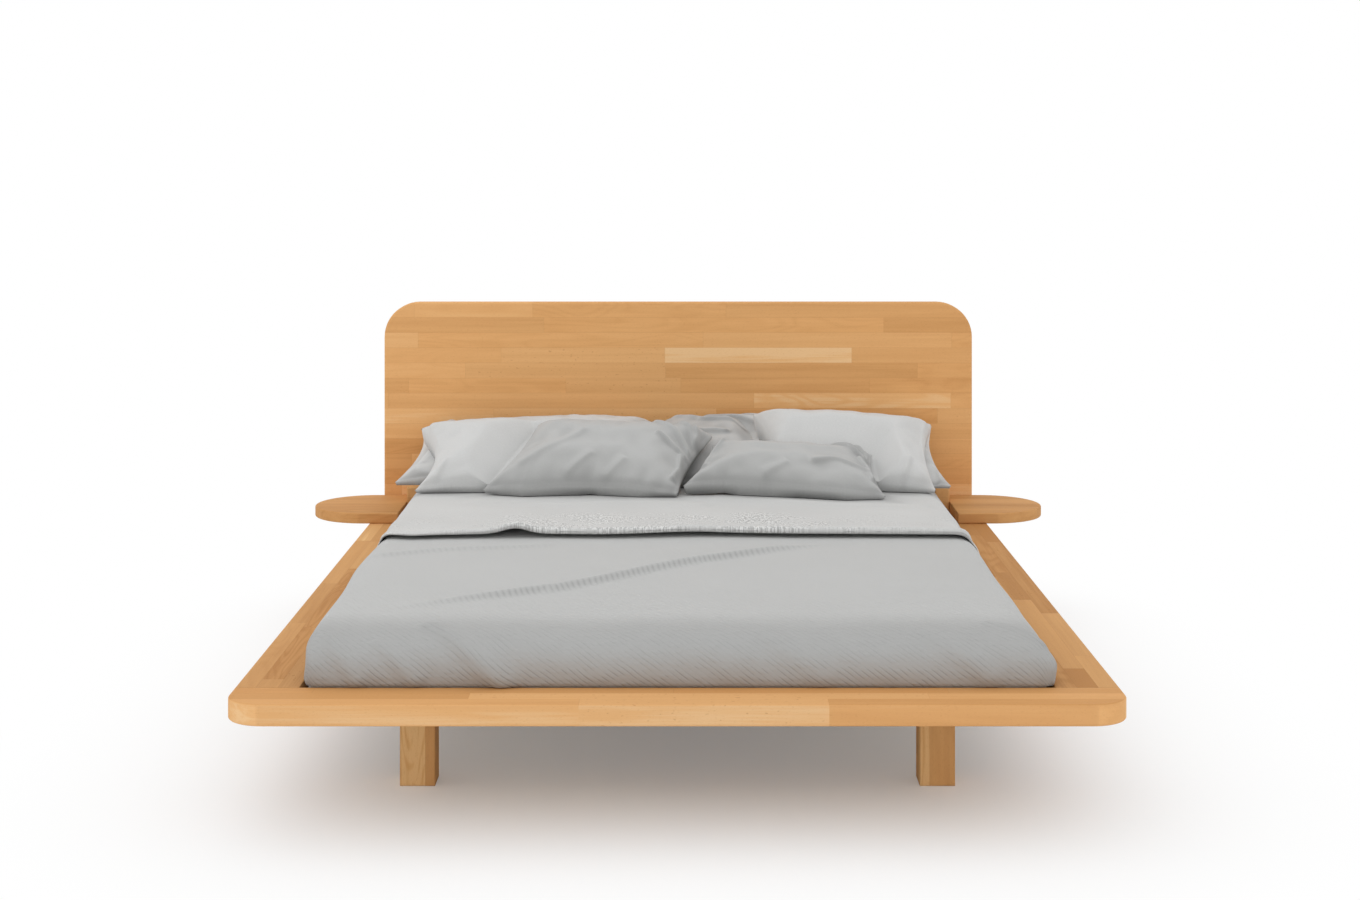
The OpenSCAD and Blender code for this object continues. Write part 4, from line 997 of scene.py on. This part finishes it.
def lay_pillow(name, size, depth, behind, ahead, pressing, seed, cloth_used, slot, crest=0.0, sag=(0.0, 0.0),
               shading=1.0, gathers=(), narrow=(DRAW_IN, DRAW_IN), painted_gap_shade=(0.0, 0.0)):
    """Lays one pillow between the slope behind it and the slope ahead, on which the next row lies."""
    relief = wrinkles(*share_grid(size, SIM_CELL), *size, seed)
    u, v = share_grid(size, CELL)
    relief = 1.3 * depth * averaged(finer(relief, *u.shape), 3)
    c = np.array([[x, FACE_Y - d, BED_Z + h] for x, d, h in PLACES[name]])
    normal = np.cross(c[2] - c[0], c[3] - c[1])
    normal /= np.linalg.norm(normal)
    sides = narrow[0] + (narrow[1] - narrow[0]) * (1 + u) / 2
    p, q = (1 + u * (1 - sides * (1 - v ** 2))) / 2, (1 + v * (1 - DRAW_IN * (1 - u ** 2))) / 2
    puff = dome_of(u, v)
    to_right, to_rear = p[..., None], q[..., None]
    seams = ((c[0] * (1 - to_right) + c[1] * to_right) * (1 - to_rear)
             + (c[3] * (1 - to_right) + c[2] * to_right) * to_rear)
    seams[..., 2] += np.sqrt(1 - u ** 4) * (crest * q ** 2 + 0.004 * (1 - q) ** 2)
    x, y = p * size[0], q * size[1]
    front = (1 - q) ** 3 * (1 - u ** 6)
    seams[..., 1] += front * np.interp(u, (-1, -0.6, 0.1, 0.6, 1), (0, -sag[0], 0.4 * sag[0], -sag[1], 0))
    seams[..., 2] += front * 0.003 * (1 + ripples(x, y * 0, seed + 40, 0.22, 5))
    rim = np.minimum((1 - np.abs(u)) * size[0], (1 - np.abs(v)) * size[1]) / 2
    inside = rise(rim, 0, 0.012)
    relief += ripples(x, y, seed, 0.20) * 0.0022 * puff
    relief += ripples(x, y, seed + 60, 0.075) * 0.0011 * inside * (1.3 - puff)
    for width, height, *line in gathers:
        relief += crease(x, y, [(pu * size[0], pv * size[1]) for pu, pv in line], width, height, lean=0.6) * inside
    relief -= 0.0016 * bump_at(rim - 0.007, 0.0028)
    # Painted shade: hollows, sides of wrinkles away from the light, a band along the front seam, and the part of a
    # pillow that lies sunk between others are darkened.
    hollow_shade = np.clip((averaged(relief, 60) - relief) / 0.004, 0, 1)
    shade = fold_shade(averaged(relief, 2), CELL, 0.50) + 0.25 * hollow_shade
    shade = shading * (shade + 0.15 * bump_at(v + 1, 0.14) + 0.05 * bump_at(v + 1, 0.55))
    shade += painted_gap_shade[1] * rise(p, painted_gap_shade[0], -0.06)
    grids = []
    for is_top in (True, False):
        base = seams + normal * (depth * puff + relief)[..., None] if is_top else seams.copy()
        across, along, up = axes(base)
        if not is_top:
            up -= SINK * np.sqrt(puff)
        np.minimum(along, FACE_Y - 0.0006, out=along)
        floor = np.maximum(BED_Z + 0.0008, slope_z(behind, along) + CLEAR)
        roof = slope_z(ahead, along) - CLEAR
        if pressing:
            beyond = np.minimum.reduce([outside(PLACES[other], across, along) for other in pressing])
            roof += 0.9 * np.maximum(beyond - 0.006, 0)
        up[:] = soft_max(-soft_max(-up, -roof, 0.010), floor)
        grids.append(base)
    # Painted shadow: the under side is darkened where it comes down onto the bed.
    painted_contact_shadow = 0.8 * np.clip(0.6 + 0.5 * ripples(x, y * 0, seed + 80, 0.30, 5), 0, 1) * bump_at(up - BED_Z, 0.005)
    piece = closed_sheet(name + "_form", *grids, np.stack([x, y], 2), cloth_used, shade, painted_contact_shadow)
    merge = bmesh.new()
    merge.from_mesh(piece.data)
    bmesh.ops.remove_doubles(merge, verts=merge.verts, dist=HAIR)
    merge.to_mesh(piece.data)
    merge.free()
    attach(piece, "root")
    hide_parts(name)
    print(name, len(piece.data.polygons), "faces, wrinkles to", round(1000 * float(relief.max()), 1), "mm")


sleeping = dict(cloth_used=pillow_cloth, slot="linen_cotton")
small = dict(cloth_used=cushion_cloth, slot="cushion_cotton")
fronts = ("pillow_front_left", "pillow_front_right")
lay_pillow("pillow_back_left", (0.72, 0.40), 0.062, FLAT, BACK_LEAN, fronts, 1, crest=0.030, shading=1.5,
           gathers=[(0.016, 0.01, (0.13, 0.95), (0.12, 0.60), (0.09, 0.25))], **sleeping)
lay_pillow("pillow_back_right", (0.78, 0.40), 0.062, FLAT, BACK_LEAN, fronts, 2, crest=0.0117, shading=1.7,
           painted_gap_shade=(0.36, 0.34), gathers=[
               (0.014, 0.0108, (0.06, 0.98), (0.16, 0.80), (0.30, 0.72)),
               (0.013, 0.0108, (0.15, 0.99), (0.26, 0.86), (0.42, 0.78)),
               (0.012, 0.0095, (0.24, 0.99), (0.36, 0.88), (0.50, 0.84)),
               (0.014, 0.0095, (0.03, 0.75), (0.14, 0.60), (0.24, 0.52))], **sleeping)
lay_pillow("pillow_front_left", (0.60, 0.36), 0.074, BACK_LEAN, FRONT_LEAN, ("cushion_left",), 3, crest=0.0170,
           shading=0.4, narrow=(0.16, DRAW_IN), gathers=[
               (0.014, 0.0065, (0.05, 0.90), (0.08, 0.60), (0.04, 0.25)),
               (0.014, 0.0054, (0.10, 0.06), (0.14, 0.22))], **sleeping)
lay_pillow("pillow_front_right", (0.52, 0.36), 0.074, BACK_LEAN, FRONT_LEAN, ("cushion_right",), 4, crest=0.0105,
           shading=0.4, narrow=(DRAW_IN, 0.10), gathers=[
               (0.014, 0.0095, (0.97, 0.90), (0.94, 0.55), (0.97, 0.20)),
               (0.014, 0.0068, (0.80, 0.04), (0.84, 0.20))], **sleeping)
lay_pillow("cushion_left", (0.52, 0.34), 0.070, FRONT_LEAN, OPEN_AIR, (), 5, crest=0.026, sag=(0.03, 0.012),
           gathers=[
               (0.01, 0.0135, (0.80, 0.99), (0.90, 0.86), (0.96, 0.70)),
               (0.008, 0.0121, (0.90, 0.99), (0.95, 0.82), (0.985, 0.62)),
               (0.01, 0.0095, (0.70, 0.92), (0.84, 0.74), (0.95, 0.58)),
               (0.01, 0.0108, (0.78, 0.62), (0.90, 0.52), (0.98, 0.48)),
               (0.01, 0.0121, (0.93, 0.46), (0.955, 0.30), (0.95, 0.12)), (0.007, 0.0081, (0.985, 0.50), (0.985, 0.30)),
               (0.022, 0.005, (0.16, 0.20), (0.30, 0.42), (0.38, 0.60)),
               (0.018, 0.005, (0.42, 0.10), (0.50, 0.26)), (0.018, 0.005, (0.62, 0.07), (0.68, 0.22))], **small)
lay_pillow("cushion_right", (0.52, 0.30), 0.059, FRONT_LEAN, OPEN_AIR, (), 6, crest=0.004, sag=(-0.02, 0.03),
           gathers=[
               (0.01, 0.0121, (0.72, 0.97), (0.84, 0.84), (0.93, 0.66)),
               (0.009, 0.0108, (0.84, 0.99), (0.92, 0.84), (0.97, 0.64)),
               (0.012, 0.0121, (0.90, 0.60), (0.94, 0.40), (0.95, 0.20)),
               (0.014, 0.0081, (0.64, 0.30), (0.78, 0.36), (0.92, 0.34)),
               (0.011, 0.0108, (0.08, 0.90), (0.05, 0.60), (0.06, 0.30)),
               (0.008, 0.0081, (0.015, 0.70), (0.03, 0.40)), (0.018, 0.005, (0.40, 0.10), (0.50, 0.24))], **small)

# %% [markdown]
# ## Floor
# A big pale floor takes the shadow and fades into plain white a little way from the bed, as
# a studio sweep does. The camera and reflections see a mix of the white and the floor, other
# rays the floor itself. Even under the bed a sixth of that mix is white: painted light that
# lifts the shadow.

# %% Floor
WHITE = (1, 1, 1, 1)
floor_mesh = bpy.data.meshes.new("studio_floor")
floor_mesh.from_pydata([(-30, -30, 0), (30, -30, 0), (30, 40, 0), (-30, 40, 0)], [], [(0, 1, 2, 3)])
floor = placed("studio_floor", floor_mesh)
floor.location.z = -0.0005
floor_paint, tree, shader = new_material("studio_floor")
fill(shader, Base_Color=(0.95, 0.95, 0.95, 1), Roughness=0.9, Specular_IOR_Level=0.1)
past = [(abs(way) - reach).maths("MAXIMUM", 0.0) for way, reach in zip(parts(object_space(tree)), (0.45, 0.65))]
# Painted light: the mix never drops below a sixth of white, so the shadow under the bed is lightened.
fade = band(vector_maths("LENGTH", combined(*past, 0.0), result="Value"), 0.0, 1.00) * 0.84 + 0.16
seen = flows(add(tree, "ShaderNodeLightPath").outputs)
straight = seen["Is Camera Ray"].maths("MAXIMUM", seen["Is Glossy Ray"])
white = flow(tree, "ShaderNodeEmission", WHITE, 1.0)
mixed = flow(tree, "ShaderNodeMixShader", fade * straight, shader.outputs[0], white)
fill(tree.nodes["Material Output"], Surface=mixed)
floor_mesh.materials.append(floor_paint)
print("floor ready")

# %% [markdown]
# ## Light
# The light is a white dome, under which a colour looks about as it was written, and it gives
# the wide soft shadow under the bed. One large weak panel behind the camera brightens what
# faces the foot end, and a weaker one hangs high above the left side.

# %% Light
world = bpy.data.worlds.new("studio")
bpy.context.scene.world = world
world.use_nodes = True
tree = world.node_tree
dome = fill(tree.nodes["Background"], Color=WHITE, Strength=0.90)[0]
backdrop = flow(tree, "ShaderNodeBackground", WHITE, 1.0)
seen = flows(add(tree, "ShaderNodeLightPath").outputs)
straight = seen["Is Camera Ray"].maths("MAXIMUM", seen["Is Glossy Ray"]).maths("MAXIMUM", seen["Is Transmission Ray"])
fill(tree.nodes["World Output"], Surface=flow(tree, "ShaderNodeMixShader", straight, dome, backdrop))


def light_panel(name, size, watts, place, aim):
    panel = placed(name, bpy.data.lights.new(name, "AREA"))
    panel.data.shape = "RECTANGLE"
    panel.data.size, panel.data.size_y = size
    panel.data.energy = watts
    panel.location = place
    panel.rotation_euler = (Vector(aim) - panel.location).to_track_quat("-Z", "Y").to_euler()


light_panel("front_panel", (6.0, 2.6), 40, (-0.8, -9.0, 1.4), (0, -1.0, 0.4))
light_panel("top_panel", (2.6, 2.6), 14, (-1.3, 0.2, 3.4), (0, 0, 0.3))
bpy.context.scene.view_settings.view_transform = "Standard"
print("lights ready")
